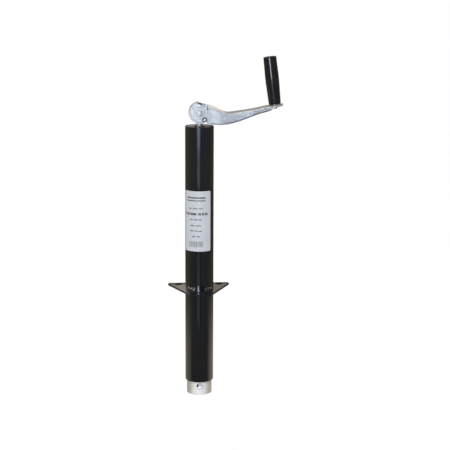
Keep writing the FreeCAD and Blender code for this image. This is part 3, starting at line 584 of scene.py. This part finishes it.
def label_film():
    """White film with plain printed bars: no letters, no mark."""
    tree = Surface("label_film")
    x, y, z = tree.axes()
    across = (tree.math("ARCTAN2", y, x) - LABEL_TURN) * TUBE_RADIUS
    up = (z - LABEL_MID) * 1000.0

    def window(value, start, end, soft=0.12):
        return value.band(start - soft, start + soft, end - soft, end + soft)

    def row(bottom, top, strength, spans):
        bars = reduce(Value.maximum, (window(across, *span) for span in spans))
        return (bars * window(up, bottom, top)) * strength

    ink = reduce(Value.maximum, (row(*entry) for entry in LABEL_ROWS))
    comb = tree.node("ShaderNodeTexNoise", "Fac", {"W": across * 1.0, "Scale": 0.9, "Detail": 2.0},
                     noise_dimensions="1D")
    lines = comb.ramp(0.485, 0.515)
    block = window(across, *STRIPES_ACROSS) * window(up, *STRIPES_UP)
    ink = ink.maximum((block * lines) * 0.85)
    paper = tree.mix(tree.noise(30.0).ramp(0.4, 0.65), (0.435, 0.448, 0.488),
                     (0.414, 0.426, 0.463))
    patchy = tree.noise(900.0, detail=2.0, rough=0.6).ramp(0.3, 0.6, first=0.72)
    colour = tree.mix(ink * patchy, paper, (0.055, 0.055, 0.060))
    normal = tree.bump(None, tree.noise(140.0, detail=2.0), strength=0.05, depth=0.0005)
    normal = tree.bump(normal, tree.noise(2200.0, detail=2.0), strength=0.06, depth=0.00003)
    rough = tree.noise(60.0, rough=0.6).ramp(0.3, 0.7, first=0.32, last=0.46)
    return tree.finish(Base_Color=colour, Roughness=rough, Normal=normal, IOR=1.45,
                       Specular_IOR_Level=0.35)


# ------------------------------------------------------------------ mesh helpers
def face_outwards(mesh, merge=0.0):
    work = bmesh.new()
    work.from_mesh(mesh)
    if merge:
        bmesh.ops.remove_doubles(work, verts=work.verts, dist=merge)
    bmesh.ops.recalc_face_normals(work, faces=work.faces)
    work.to_mesh(mesh)
    work.free()


def shade(piece, degrees):
    """Smooth shading with creases sharper than the angle kept."""
    mesh = piece.data
    mesh.polygons.foreach_set("use_smooth", [True] * len(mesh.polygons))
    mesh.set_sharp_from_angle(angle=math.radians(degrees))
    mesh.update()


def new_mesh(name, shape, material, body, replaced, smooth_deg=35.0):
    """Object from (vertices, faces) that rides a body in place of one CAD node."""
    verts, faces = shape
    mesh = bpy.data.meshes.new(name)
    mesh.from_pydata([tuple(v) for v in verts], [], [tuple(f) for f in faces])
    mesh.validate()
    mesh.update()
    face_outwards(mesh, merge=1e-7)
    piece = bpy.data.objects.new(name, mesh)
    scene.collection.objects.link(piece)
    mesh.materials.append(material)
    shade(piece, smooth_deg)
    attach(piece, body)
    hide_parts(replaced)
    return piece


def fillet(points, steps):
    """Closed outline of (r, z) or (r, z, corner radius) points with the corners rounded."""
    outline = []
    for i, point in enumerate(points):
        corner = np.array(point[:2], float)
        radius = point[2] if len(point) > 2 else 0.0
        back = np.array(points[i - 1][:2], float) - corner
        ahead = np.array(points[(i + 1) % len(points)][:2], float) - corner
        back_length, ahead_length = np.linalg.norm(back), np.linalg.norm(ahead)
        back, ahead = back / back_length, ahead / ahead_length
        half = math.acos(max(-1, min(1, float(back @ ahead)))) / 2
        # nearly straight corners stay as they are
        if radius <= 0 or half > math.radians(88):
            outline.append(corner)
            continue
        cut = min(radius / math.tan(half), back_length * 0.49, ahead_length * 0.49)
        fitted = cut * math.tan(half)
        middle = back + ahead
        centre = corner + middle / np.linalg.norm(middle) * (fitted / math.sin(half))
        first = math.atan2(*(corner + back * cut - centre)[::-1])
        last = math.atan2(*(corner + ahead * cut - centre)[::-1])
        sweep = (last - first + math.pi) % (2 * math.pi) - math.pi
        for k in range(steps + 1):
            angle = first + sweep * k / steps
            outline.append(centre + fitted * np.array([math.cos(angle), math.sin(angle)]))
    return outline


def mirrored(half):
    """A half profile followed by its mirror image in z."""
    return half + [(r, -z) for r, z in reversed(half)]


def lathe(points, segments, place, swell=None):
    """Closed turned solid from (r, z) in mm; a point with r = 0 is a pole.

    swell(angle, r) is added to the radius.
    """
    verts, faces, rings = [], [], []
    for r, z in points:
        start = len(verts)
        if r < 1e-9:
            verts.append(place @ Vector((0, 0, z * MM)))
        else:
            for k in range(segments):
                angle = 2 * math.pi * k / segments
                radius = r + (swell(angle, r) if swell else 0.0)
                verts.append(place @ Vector((radius * math.cos(angle) * MM,
                                             radius * math.sin(angle) * MM, z * MM)))
        rings.append(list(range(start, len(verts))))
    for this, after in zip(rings, rings[1:] + rings[:1]):
        if len(this) == 1 and len(after) == 1:
            continue
        for k in range(segments):
            k2 = (k + 1) % segments
            if len(this) == 1:
                faces.append((this[0], after[k], after[k2]))
            elif len(after) == 1:
                faces.append((this[k], after[0], this[k2]))
            else:
                faces.append((this[k], after[k], after[k2], this[k2]))
    return verts, faces


def close_skins(faces, count):
    """Faces of an outer skin, its inner copy (count vertices on) and the rim between them."""
    uses = {}
    for face in faces:
        for a, b in zip(face, face[1:] + face[:1]):
            uses.setdefault(frozenset((a, b)), []).append((a, b))
    closed = [tuple(face) for face in faces]
    closed += [tuple(i + count for i in reversed(face)) for face in faces]
    for edges in uses.values():
        if len(edges) == 1:
            a, b = edges[0]
            closed.append((b, a, a + count, b + count))
    return closed


def frame_at(origin, axis):
    """Matrix that carries Z onto the axis, at the origin given."""
    turn = Vector((0, 0, 1)).rotation_difference(axis)
    return Matrix.Translation(Vector(origin)) @ turn.to_matrix().to_4x4()


def cut_round(piece, place, radius, reach):
    """Cuts a round hole through a closed mesh."""
    profile = [(0, -reach), (radius, -reach), (radius, reach), (0, reach)]
    verts, faces = lathe(profile, 64, place)
    drill = bpy.data.meshes.new("drill")
    drill.from_pydata([tuple(v) for v in verts], [], faces)
    face_outwards(drill)
    tool = bpy.data.objects.new("drill", drill)
    scene.collection.objects.link(tool)
    cut = piece.modifiers.new("drill", "BOOLEAN")
    cut.operation = "DIFFERENCE"
    cut.object = tool
    cut.solver = "EXACT"
    bpy.context.view_layer.update()
    graph = bpy.context.evaluated_depsgraph_get()
    drilled = bpy.data.meshes.new_from_object(piece.evaluated_get(graph))
    piece.modifiers.remove(cut)
    piece.data = drilled
    drilled.name = piece.name
    bpy.data.objects.remove(tool)
    bpy.data.meshes.remove(drill)


# ------------------------------------------------------------------ finishes on the CAD nodes
FINISH = {
    "black_paint": black_paint(),
    "cap": black_paint("black_paint_satin", 0.26, cap_sheen_and_shade),
    "plate": black_paint("black_paint_plate", 0.02, plate_dull_edge_and_sheen),
    "weld": black_paint("black_paint_weld", 0.03, weld_crests),
    "zinc_plate": zinc(),
    "arm": zinc("zinc_arm", arm=True),
    "bare_steel": turned_steel("bare_steel", (0.60, 0.59, 0.57), (0.42, 0.41, 0.39)),
    "hardened_steel": turned_steel("hardened_steel", (0.74, 0.74, 0.75), (0.60, 0.60, 0.62),
                                   rough=(0.08, 0.16), rings=1800.0, stain=0.15),
    "cage_brass": turned_steel("cage_brass", (0.80, 0.60, 0.27), (0.62, 0.44, 0.18),
                               rough=(0.20, 0.32), rings=1500.0, stain=0.2),
    "spring_steel": turned_steel("spring_steel", (0.16, 0.16, 0.17), (0.07, 0.07, 0.075),
                                 rough=(0.28, 0.42), rings=1500.0),
    "black_grip": grip_plastic(),
    "ram": ram_zinc(),
    "rivet": zinc("zinc_rivet", tint=(0.40, 0.42, 0.45), dark=(0.30, 0.315, 0.335),
                  warm=(0.40, 0.37, 0.34), rough=(0.34, 0.50), grain_size=700.0, edge_highlight=0.3),
}
# slot: its CAD nodes
GROUPS = {
    "black_paint": ["outer_tube", "mount_plate", "plate_welds", "top_cap", "guide_key"],
    "hardened_steel": ["upper_race", "lower_race", "bearing_balls"],
    "cage_brass": ["bearing_cage"],
    "bare_steel": ["thrust_collar", "screw_guide", "lead_screw", "drive_pin", "stop_washer",
                   "stop_washer_pin", "ram_nut", "nut_pins"],
    "zinc_plate": ["ram_tube", "crank_eye", "crank_arm", "pivot_rivet", "pivot_washers",
                   "grip_spindle", "spindle_washer"],
    "spring_steel": ["stop_pin"],
    "black_grip": ["crank_grip"],
}
# nodes whose finish differs from that of their slot
OWN_FINISH = {"top_cap": "cap", "mount_plate": "plate", "plate_welds": "weld", "ram_tube": "ram",
              "pivot_rivet": "rivet", "grip_spindle": "rivet"}
for slot_name, members in GROUPS.items():
    for member in members:
        cad_piece = frame["nodes"][member]
        cad_piece.data.materials.clear()
        cad_piece.data.materials.append(FINISH[OWN_FINISH.get(member, slot_name)])

# ------------------------------------------------------------------ crank arm
# A pressed channel whose folded sides fade into the tongue at the tip; mm from the pivot.
SPLIT_Z = web_z(NECK_X) - bend_radius(NECK_X)    # where the bend ends at the neck
FADE_START, FADE_END = 139.0, 153.5              # x over which the sides open out
OPENING = 0.46                                   # share of the fold opened at the tip
RIM_DEPTH = 3.0
LIP_SHARE = 0.154                                # lowest part of a side wall
WEB_STEPS, BEND_STEPS, WALL_STEPS, LIP_STEPS, CROWN_STEPS = 5, 8, 9, 2, 7
EAR_END = 10.44                                  # x where the round of the ear ends
SLOT_TOP = -16.6
ear_slant = line_through([(EAR_END, -18.45), (11.4, SLOT_TOP)])
ear_shoulder = line_through([(-2.95, 20.99), (5.0, 17.4), (13.2, 15.9)])
TIP_CENTRE = ARM_TIP - ARM_HALF                  # the tip is a half circle seen from above


def smoothstep(fraction):
    fraction = min(max(fraction, 0.0), 1.0)
    return fraction * fraction * (3 - 2 * fraction)


def plan_half(x):
    """Half width of the arm seen from above."""
    if x <= TIP_CENTRE:
        return ARM_HALF
    return math.sqrt(max(ARM_HALF ** 2 - (x - TIP_CENTRE) ** 2, 0.0))


def ear_arc(x):
    return math.sqrt(max(EAR_RADIUS ** 2 - x * x, 0.0))


def channel_stations():
    last = math.asin((FADE_END - TIP_CENTRE) / ARM_HALF)
    tip = [TIP_CENTRE + ARM_HALF * math.sin(angle)
           for angle in np.linspace(last, math.radians(87.6), 18)]
    return (list(np.linspace(NECK_X, 60.0, 38)) + list(np.linspace(60.0, FADE_START, 42))[1:]
            + list(np.linspace(FADE_START, FADE_END, 13))[1:] + tip[1:])


def channel_column(x, side):
    """(outer, inner) points at x, from the middle of the web to the edge of one side."""
    top, bend = web_z(x), bend_radius(x)
    slope = (web_z(x + 0.2) - web_z(x - 0.2)) / 0.4
    upright = SHEET * math.sqrt(1 + slope * slope)
    opened = OPENING * smoothstep((x - FADE_START) / (FADE_END - FADE_START))
    fold = math.radians(90.0 * (1 - opened))
    sine, cosine = math.sin(fold), math.cos(fold)
    depth = (top - bend - low_z(x)) * (1 - opened) + RIM_DEPTH * opened
    half = plan_half(min(x, FADE_END))
    flat = half - bend * sine - depth * cosine
    narrowing = plan_half(x) / half

    def pair(across, rise, normal_y, normal_z):
        across *= narrowing
        thick = SHEET + (upright - SHEET) * abs(normal_z)
        return ((x, side * across, top + rise),
                (x, side * (across + normal_y * thick), top + rise + normal_z * thick))

    column = [pair(flat * k / WEB_STEPS, 0.0, 0.0, -1.0) for k in range(WEB_STEPS + 1)]
    for k in range(1, BEND_STEPS + 1):
        angle = fold * k / BEND_STEPS
        column.append(pair(flat + bend * math.sin(angle), -bend * (1 - math.cos(angle)),
                           -math.sin(angle), -math.cos(angle)))
    wall = depth * (1 - LIP_SHARE)
    drops = [wall * k / WALL_STEPS for k in range(1, WALL_STEPS + 1)]
    drops += [wall + depth * LIP_SHARE * k / LIP_STEPS for k in range(1, LIP_STEPS + 1)]
    for drop in drops:
        column.append(pair(flat + bend * sine + drop * cosine,
                           -bend * (1 - cosine) - drop * sine, -sine, -cosine))
    return column


def ear_strips(side):
    """Strips of the flat ear round the pivot, on one side of the arm."""
    def column(x, top, bottom, steps):
        heights = [top + (bottom - top) * k / steps for k in range(steps + 1)]
        return [((x, side * ARM_HALF, z), (x, side * (ARM_HALF - SHEET), z)) for z in heights]

    def crown_top(x):
        top = ear_arc(x) if x <= -2.95 else ear_shoulder(x)
        if side < 0:    # a shallow dip in the top edge of the front ear
            top -= 2.2 * smoothstep((x + 6.0) / 2.4) * smoothstep((7.0 - x) / 2.4)
        return max(top, SPLIT_Z)

    start = -math.sqrt(EAR_RADIUS * EAR_RADIUS - SPLIT_Z * SPLIT_Z)
    angles = np.linspace(180.0, math.degrees(math.acos(start / EAR_RADIUS)), 5)[:-1]
    left = [EAR_RADIUS * math.cos(math.radians(angle)) for angle in angles]
    middle = list(np.linspace(start, EAR_END, 30))
    right = [11.4, 12.3, 13.2, 13.9, SLOT_X]

    main = []
    for x in left + middle + right:
        top = SPLIT_Z if x >= start - 1e-9 else ear_arc(x)
        bottom = -ear_arc(x) if x <= EAR_END else ear_slant(x)
        main.append(column(x, top, bottom, WALL_STEPS))
    neck_low = low_z(NECK_X)
    neck_lip = SPLIT_Z + (neck_low - SPLIT_Z) * (1 - LIP_SHARE)
    neck = [column(SLOT_X, SPLIT_Z, SLOT_TOP, WALL_STEPS),
            column(NECK_X, SPLIT_Z, neck_lip, WALL_STEPS)]
    lip = [column(SLOT_X, SLOT_TOP, low_z(SLOT_X), LIP_STEPS),
           column(NECK_X, neck_lip, neck_low, LIP_STEPS)]
    crown = [column(x, crown_top(x), SPLIT_Z, CROWN_STEPS) for x in middle + right[:3]]
    return [main, neck, lip, crown]


def arm_shape():
    outer, inner, index, faces = [], [], {}, []

    def vertex(outside, inside):
        key = tuple(round(c, 4) for c in outside)
        if key not in index:
            index[key] = len(outer)
            outer.append(outside)
            inner.append(inside)
        return index[key]

    def add_strip(columns):
        for a, b in zip(columns[:-1], columns[1:]):
            for j in range(len(a) - 1):
                face = []
                for pair in (a[j], b[j], b[j + 1], a[j + 1]):
                    i = vertex(*pair)
                    if i not in face:
                        face.append(i)
                if len(face) > 2:
                    faces.append(face)

    for side in (-1, 1):
        add_strip([channel_column(x, side) for x in channel_stations()])
        for columns in ear_strips(side):
            add_strip(columns)
    place = Matrix.Translation(PIVOT)
    return [place @ (Vector(p) * MM) for p in outer + inner], close_skins(faces, len(outer))


RIVET_SHANK = 4.0
PIN_RADIUS = (stop_hi.z - stop_lo.z) / 2 / MM
PIN_PLACE = frame_at((STOP.x, 0, STOP.z), Y_AXIS)
GRIP_PLACE = frame_at(SEAT, LEAN)
rivet_mid = (rivet_lo + rivet_hi) / 2
arm = new_mesh("crank_arm_pressed", arm_shape(), FINISH["arm"], "crank", "crank_arm")
cut_round(arm, frame_at((rivet_mid.x, 0, rivet_mid.z), Y_AXIS), RIVET_SHANK, reach=30.0)
cut_round(arm, PIN_PLACE, PIN_RADIUS + 0.02, reach=30.0)
cut_round(arm, GRIP_PLACE, 3.92, reach=12.0)
shade(arm, 32.0)

# ------------------------------------------------------------------ pivot rivet, domed both ends
HEAD_RADIUS = 5.2
rivet_half = (rivet_hi.y - rivet_lo.y) / 2 / MM
head_height = rivet_half - ARM_HALF
head_rim = -ARM_HALF - head_height * 0.25
rivet_profile = [(0, -rivet_half)]
for degrees in (15, 30, 45, 60, 72, 82):
    angle = math.radians(degrees)
    rivet_profile.append((HEAD_RADIUS * math.sin(angle),
                          head_rim - (head_height * 0.75) * math.cos(angle) ** 0.8))
rivet_profile += [(HEAD_RADIUS, head_rim), (HEAD_RADIUS, -ARM_HALF + 0.01),
                  (RIVET_SHANK, -ARM_HALF + 0.01)]
new_mesh("pivot_rivet_domed", lathe(mirrored(rivet_profile), 64, frame_at(PIVOT, Y_AXIS)),
         FINISH["rivet"], "crank", "pivot_rivet")

# ------------------------------------------------------------------ stop pin
# (radius, depth from the end face)
PIN_END = [(0, 0.0), (1.3, 0.04), (2.0, 0.25), (2.38, 0.7), (2.4, 1.9), (PIN_RADIUS - 0.25, 1.9),
           (PIN_RADIUS, 2.15)]
pin_half = (stop_hi.y - stop_lo.y) / 2 / MM
pin_profile = mirrored([(r, -pin_half + depth) for r, depth in PIN_END])
new_mesh("stop_pin_shouldered", lathe(pin_profile, 56, PIN_PLACE), stop_finish(), "crank",
         "stop_pin")

# ------------------------------------------------------------------ grip and its spindle
GRIP_START = 1.2                      # gap above the seat
GRIP_END = GRIP_START + 93.9
RECESS_FLOOR = GRIP_END - 4.6         # floor of the recess in the free end
BORE, RECESS = 5.25, 8.0
# (radius, z, corner radius), with a shallow groove about half way up
GRIP_OUTLINE = [
    (BORE, GRIP_START), (11.9, GRIP_START, 1.2), (12.0, GRIP_START + 3.0, 1.5),
    (13.60, GRIP_START + 47.3, 0.3), (13.34, GRIP_START + 47.7, 0.1),
    (13.34, GRIP_START + 48.3, 0.1), (13.65, GRIP_START + 48.7, 0.5), (12.78, GRIP_END, 1.6),
    (RECESS, GRIP_END, 0.6), (RECESS, RECESS_FLOOR, 0.3), (BORE, RECESS_FLOOR),
]
SEAM_ANGLES = (math.pi / 2, 3 * math.pi / 2 + 0.9)


def grip_profile():
    """The rounded outline, with steps of about 4 mm along the long sides."""
    outline = fillet(GRIP_OUTLINE, steps=6)
    dense = []
    for p, q in zip(outline, outline[1:] + outline[:1]):
        count = max(1, int(abs(q[1] - p[1]) / 4.0))
        dense += [p + (q - p) * k / count for k in range(count)]
    return dense


def seam(angle, r):
    """Moulding seams down both sides of the grip."""
    if r < 11.0:
        return 0.0
    off = min(abs((angle - at + math.pi) % (2 * math.pi) - math.pi) for at in SEAM_ANGLES)
    return 0.10 * max(0.0, 1 - off / 0.04)


new_mesh("crank_grip_moulded", lathe(grip_profile(), 144, GRIP_PLACE, seam), FINISH["black_grip"],
         "grip", "crank_grip")

CAP_BASE = RECESS_FLOOR + 0.3         # underside of the spindle's upper head
# (radius, z): rivet head under the arm, shank, then the head in the grip's recess
SPINDLE_PROFILE = [
    (0, -SHEET - 6.0), (2.2, -SHEET - 5.9), (3.4, -SHEET - 5.5), (4.2, -SHEET - 4.6),
    (4.6, -SHEET - 3.0), (4.6, -SHEET - 0.08), (3.88, -SHEET - 0.08), (3.88, 0.0), (5.0, 0.0),
    (5.0, CAP_BASE), (7.4, CAP_BASE), (7.4, CAP_BASE + 0.7), (7.1, CAP_BASE + 1.25),
    (6.3, CAP_BASE + 1.8), (5.0, CAP_BASE + 2.25), (3.2, CAP_BASE + 2.5), (0, CAP_BASE + 2.6),
]
new_mesh("grip_spindle_riveted", lathe(SPINDLE_PROFILE, 72, GRIP_PLACE), FINISH["rivet"], "crank",
         "grip_spindle")

# ------------------------------------------------------------------ weld beads with their ripples
BEAD_SPAN = 40.0                      # degrees of arc
BEAD_LEG = 5.0
RIPPLE_PITCH = 4.2                    # degrees
# (outwards, upwards) in leg lengths, from the corner between tube and plate
BEAD_SECTION = [(0.0, 0.0), (1.0, 0.0), (0.93, 0.22), (0.80, 0.42), (0.62, 0.62), (0.42, 0.80),
                (0.22, 0.93), (0.0, 1.0)]
BEADS = [(-54.0, 3), (-126.0, 5), (126.0, 7), (54.0, 11)]    # (middle in degrees, seed)


def bead(middle, seed):
    jitter = np.random.RandomState(seed).uniform(-0.25, 0.25, 40)
    steps = int(BEAD_SPAN * 2.2)
    ripples = BEAD_SPAN / RIPPLE_PITCH
    verts, rings = [], []
    for i in range(steps + 1):
        along = i / steps
        angle = math.radians(middle - BEAD_SPAN / 2 + BEAD_SPAN * along)
        from_end = min(along, 1 - along) * BEAD_SPAN / 4.0
        size = BEAD_LEG * (0.30 + 0.70 * math.sin(min(from_end, 1.0) * math.pi / 2))
        uneven = jitter[int(along * ripples) % 40]
        phase = along * ripples + uneven * 0.3
        wave = 1.0 + 0.075 * (1 - 2 * (phase % 1.0)) + 0.04 * uneven
        rings.append(list(range(len(verts), len(verts) + len(BEAD_SECTION))))
        for k, (out, up) in enumerate(BEAD_SECTION):
            # the toe on the plate ripples half as much
            leg = size * (0.5 + 0.5 * wave if k == 1 else wave)
            r = TUBE_RADIUS - 0.15 + out * leg
            z = plate_hi.z / MM - 0.05 + up * leg
            verts.append(Vector((r * math.cos(angle) * MM, r * math.sin(angle) * MM, z * MM)))
    faces = []
    count = len(BEAD_SECTION)
    for a, b in zip(rings[:-1], rings[1:]):
        for k in range(count):
            faces.append((a[k], a[(k + 1) % count], b[(k + 1) % count], b[k]))
    faces.append(tuple(rings[0]))
    faces.append(tuple(reversed(rings[-1])))
    return verts, faces


def all_beads():
    verts, faces = [], []
    for middle, seed in BEADS:
        bead_verts, bead_faces = bead(middle, seed)
        faces += [tuple(i + len(verts) for i in face) for face in bead_faces]
        verts += bead_verts
    return verts, faces


new_mesh("plate_weld_beads", all_beads(), FINISH["weld"], "frame", "plate_welds",
         50.0)

# ------------------------------------------------------------------ label, with rounded corners
LABEL_CORNER = 3.2
LABEL_COLUMNS = 56


def label_shape():
    half_width = TUBE_RADIUS * LABEL_SPAN / 2
    half_height = (label_hi.z - label_lo.z) / 2 / MM
    straight = half_height - LABEL_CORNER
    corner = [math.radians(degrees) for degrees in np.linspace(0, 90, 9)]
    rows = [-straight - LABEL_CORNER * math.cos(angle) for angle in corner]
    rows += list(np.linspace(-straight, straight, 24))[1:-1]
    rows += [straight + LABEL_CORNER * math.sin(angle) for angle in corner]
    outer, inner, faces = [], [], []
    for z in rows:
        over = max(0.0, abs(z) - straight)
        width = half_width - (LABEL_CORNER - math.sqrt(max(LABEL_CORNER ** 2 - over * over, 0.0)))
        for k in range(LABEL_COLUMNS + 1):
            angle = LABEL_TURN + (-width + 2 * width * k / LABEL_COLUMNS) / TUBE_RADIUS
            for skin, lift in ((outer, 0.13), (inner, 0.01)):
                r = TUBE_RADIUS + lift
                skin.append(Vector((r * math.cos(angle), r * math.sin(angle),
                                    z + LABEL_MID / MM)) * MM)
    stride = LABEL_COLUMNS + 1
    for i in range(len(rows) - 1):
        for k in range(LABEL_COLUMNS):
            first = i * stride + k
            faces.append((first, first + 1, first + stride + 1, first + stride))
    return outer + inner, close_skins(faces, len(outer))


new_mesh("tube_label_film", label_shape(), label_film(), "frame", "tube_label", 60.0)

# ------------------------------------------------------------------ studio surroundings
# colours seen in reflections; pairs run from -X to +X
FRONT_LOW, FRONT_HIGH = (0.17, 0.18, 0.19), (0.235, 0.26, 0.30)
SIDE_MID = (0.30, 0.265, 0.205), (0.22, 0.19, 0.14)
SIDE_LOW = (0.78, 0.71, 0.56), (1.0, 0.90, 0.68)
BACK_MID, BACK_LOW = (0.095, 0.085, 0.060), (0.50, 0.47, 0.40)
WALL = (1.05, 0.96, 0.88), (0.50, 0.42, 0.33)
OVERHEAD = (0.90, 0.93, 0.97), (0.80, 0.78, 0.75)    # front, back


def room_colour(tree, direction):
    """Dim cool front, dark brown sides and back near the horizon, tan below it,
    a warm wall above it at the back."""
    x, y, z = tree.axes(direction)
    flat = (x * x + y * y).sqrt()
    heading = y / flat.maximum(1e-4)
    front = tree.mix(z.ramp(-0.30, 0.02), FRONT_LOW, FRONT_HIGH)
    low = z.fade(-0.315, -0.245)
    right = x.ramp(-0.12, 0.12)
    side = tree.mix(low, tree.mix(right, *SIDE_MID), tree.mix(right, *SIDE_LOW))
    back = tree.mix(low, BACK_MID, BACK_LOW)
    back = tree.mix(heading.ease(0.45, 0.88), side, back)
    wall = tree.mix(right, *WALL)
    back = tree.mix(z.ease(0.13, 0.23), back, wall)
    colour = tree.mix(heading.ramp(-0.42, -0.02), front, back)
    overhead = tree.mix(y.ramp(-0.5, 0.5), *OVERHEAD)
    return tree.mix(z.ease(0.40, 0.80), colour, overhead)


world = bpy.data.worlds.new("studio")
scene.world = world
world.use_nodes = True
sky = Tree(world.node_tree)
sky_colour = room_colour(sky, sky.node("ShaderNodeTexCoord", "Generated"))
ray = sky.new("ShaderNodeLightPath").outputs
sky_colour = sky.mix(ray["Is Diffuse Ray"], sky_colour, (0.88, 0.885, 0.90))
sky_colour = sky.mix(ray["Is Camera Ray"], sky_colour, (1.0, 1.0, 1.0))
sky.put(sky.new("ShaderNodeOutputWorld").inputs[0],
        sky.node("ShaderNodeBackground", 0, {0: sky_colour}))

# ------------------------------------------------------------------ floor
FLOOR_Z = -0.602
FLOOR_HALF = 60.0
FLOOR_CELLS = 24


def floor_white():
    """Part diffuse, part glowing white; reflections see the room instead."""
    tree = Surface("floor_white")
    glossy = tree.node("ShaderNodeLightPath", "Is Glossy Ray")
    paint = tree.mix(tree.noise(3.0).ramp(0.3, 0.7), (0.90, 0.90, 0.90), (0.93, 0.93, 0.93))
    diffuse = tree.node("ShaderNodeBsdfDiffuse", 0, {0: paint})
    incoming = tree.node("ShaderNodeNewGeometry", "Incoming")
    onward = tree.node("ShaderNodeVectorMath", 0, {0: incoming, "Scale": -1.0}, operation="SCALE")
    room = tree.node("ShaderNodeEmission", 0, {0: room_colour(tree, onward)})
    white = tree.node("ShaderNodeEmission", 0, {0: (1.0, 1.0, 1.0)})
    seen = tree.node("ShaderNodeMixShader", 0, {0: 0.45, 1: diffuse, 2: white})
    return tree.output(tree.node("ShaderNodeMixShader", 0, {0: glossy, 1: seen, 2: room}))


floor_material = floor_white()
floor_mesh = bpy.data.meshes.new("floor")
ticks = [-FLOOR_HALF + 2 * FLOOR_HALF * i / FLOOR_CELLS for i in range(FLOOR_CELLS + 1)]
row_length = FLOOR_CELLS + 1
corners = [j * row_length + i for j in range(FLOOR_CELLS) for i in range(FLOOR_CELLS)]
floor_mesh.from_pydata([(x, y, FLOOR_Z) for y in ticks for x in ticks], [],
                       [(c, c + 1, c + row_length + 1, c + row_length) for c in corners])
floor_mesh.materials.append(floor_material)
floor = bpy.data.objects.new("floor", floor_mesh)
scene.collection.objects.link(floor)

# ------------------------------------------------------------------ lights
sun = bpy.data.lights.new("key", "SUN")
sun.energy = 0.9
sun.angle = math.radians(35)
sun.color = (1.0, 0.99, 0.975)
sun_object = bpy.data.objects.new("key", sun)
scene.collection.objects.link(sun_object)
sun_object.rotation_euler = (math.radians(38), math.radians(-18), 0)
sun_object.visible_glossy = False


def glow_card(name, x_span, y, levels, colour):
    """Upright window in front, fading at its sides; seen only in reflections.

    levels: (height, brightness), from the bottom of the card to its top.
    """
    x0, x1 = x_span
    z0, z1 = levels[0][0], levels[-1][0]
    tree = Surface(name)
    x, _, z = tree.axes()
    peak = max(level for _, level in levels)
    stops = [((height - z0) / (z1 - z0), level / peak) for height, level in levels]
    shade_up = tree.grey_ramp(z.ramp(z0, z1), stops)
    sides = abs(x.ramp(x0, x1, first=-1.0)).fade(0.35, 1.0)
    tree.output(tree.node("ShaderNodeEmission", 0, {0: tree.tint(shade_up, colour),
                                                    1: sides * peak}))
    mesh = bpy.data.meshes.new(name)
    mesh.from_pydata([(x0, y, z0), (x1, y, z0), (x1, y, z1), (x0, y, z1)], [], [(0, 1, 2, 3)])
    mesh.materials.append(tree.material)
    card = bpy.data.objects.new(name, mesh)
    scene.collection.objects.link(card)
    for ray_kind in ("camera", "diffuse", "shadow", "transmission"):
        setattr(card, "visible_" + ray_kind, False)


glow_card("card_front", x_span=(-0.93, 0.27), y=-1.8, levels=[
    (-0.60, 0.60), (-0.45, 0.62), (-0.38, 0.50), (-0.22, 0.10), (-0.13, 0.10), (-0.105, 0.80),
    (-0.085, 1.35), (-0.05, 1.35), (-0.01, 0.75), (0.05, 2.3), (0.14, 3.2), (0.22, 4.2),
    (0.60, 3.0),
], colour=(0.70, 0.86, 1.10))
glow_card("card_grip", x_span=(-0.57, -0.09), y=-1.79, levels=[
    (0.205, 3.4), (0.25, 9.0), (0.29, 32.0), (0.60, 38.0),
], colour=(0.80, 0.88, 1.0))

LAMP_AT = Vector((-0.46, -2.4, 1.9))
LAMP_TARGET = Vector((0.0, 0.0, 0.20))
lamp = bpy.data.lights.new("lamp_high", "AREA")
lamp.shape = "RECTANGLE"
lamp.size = lamp.size_y = 0.34
lamp.energy = 24.0
lamp.color = (0.96, 0.98, 1.0)
lamp_object = bpy.data.objects.new("lamp_high", lamp)
scene.collection.objects.link(lamp_object)
lamp_object.location = LAMP_AT
lamp_object.rotation_euler = (LAMP_TARGET - LAMP_AT).to_track_quat("-Z", "Y").to_euler()
lamp_object.visible_camera = False

# ------------------------------------------------------------------ camera
CAMERA_AT = (-0.1218, -2.3624, 0.6225)
CAMERA_TURNS = ((-4.2, "Z"), (78.3, "X"), (0.3, "Z"))    # heading, tilt, roll in degrees
camera_data = bpy.data.cameras.new("camera")
camera_data.sensor_width = 36.0
camera_data.lens = 96.0
camera = bpy.data.objects.new("camera", camera_data)
scene.collection.objects.link(camera)
heading, tilt, roll = (Matrix.Rotation(math.radians(degrees), 4, axis)
                       for degrees, axis in CAMERA_TURNS)
camera.matrix_world = Matrix.Translation(CAMERA_AT) @ (heading @ tilt @ roll)
scene.camera = camera
scene.view_settings.view_transform = "Standard"
scene.view_settings.look = "None"
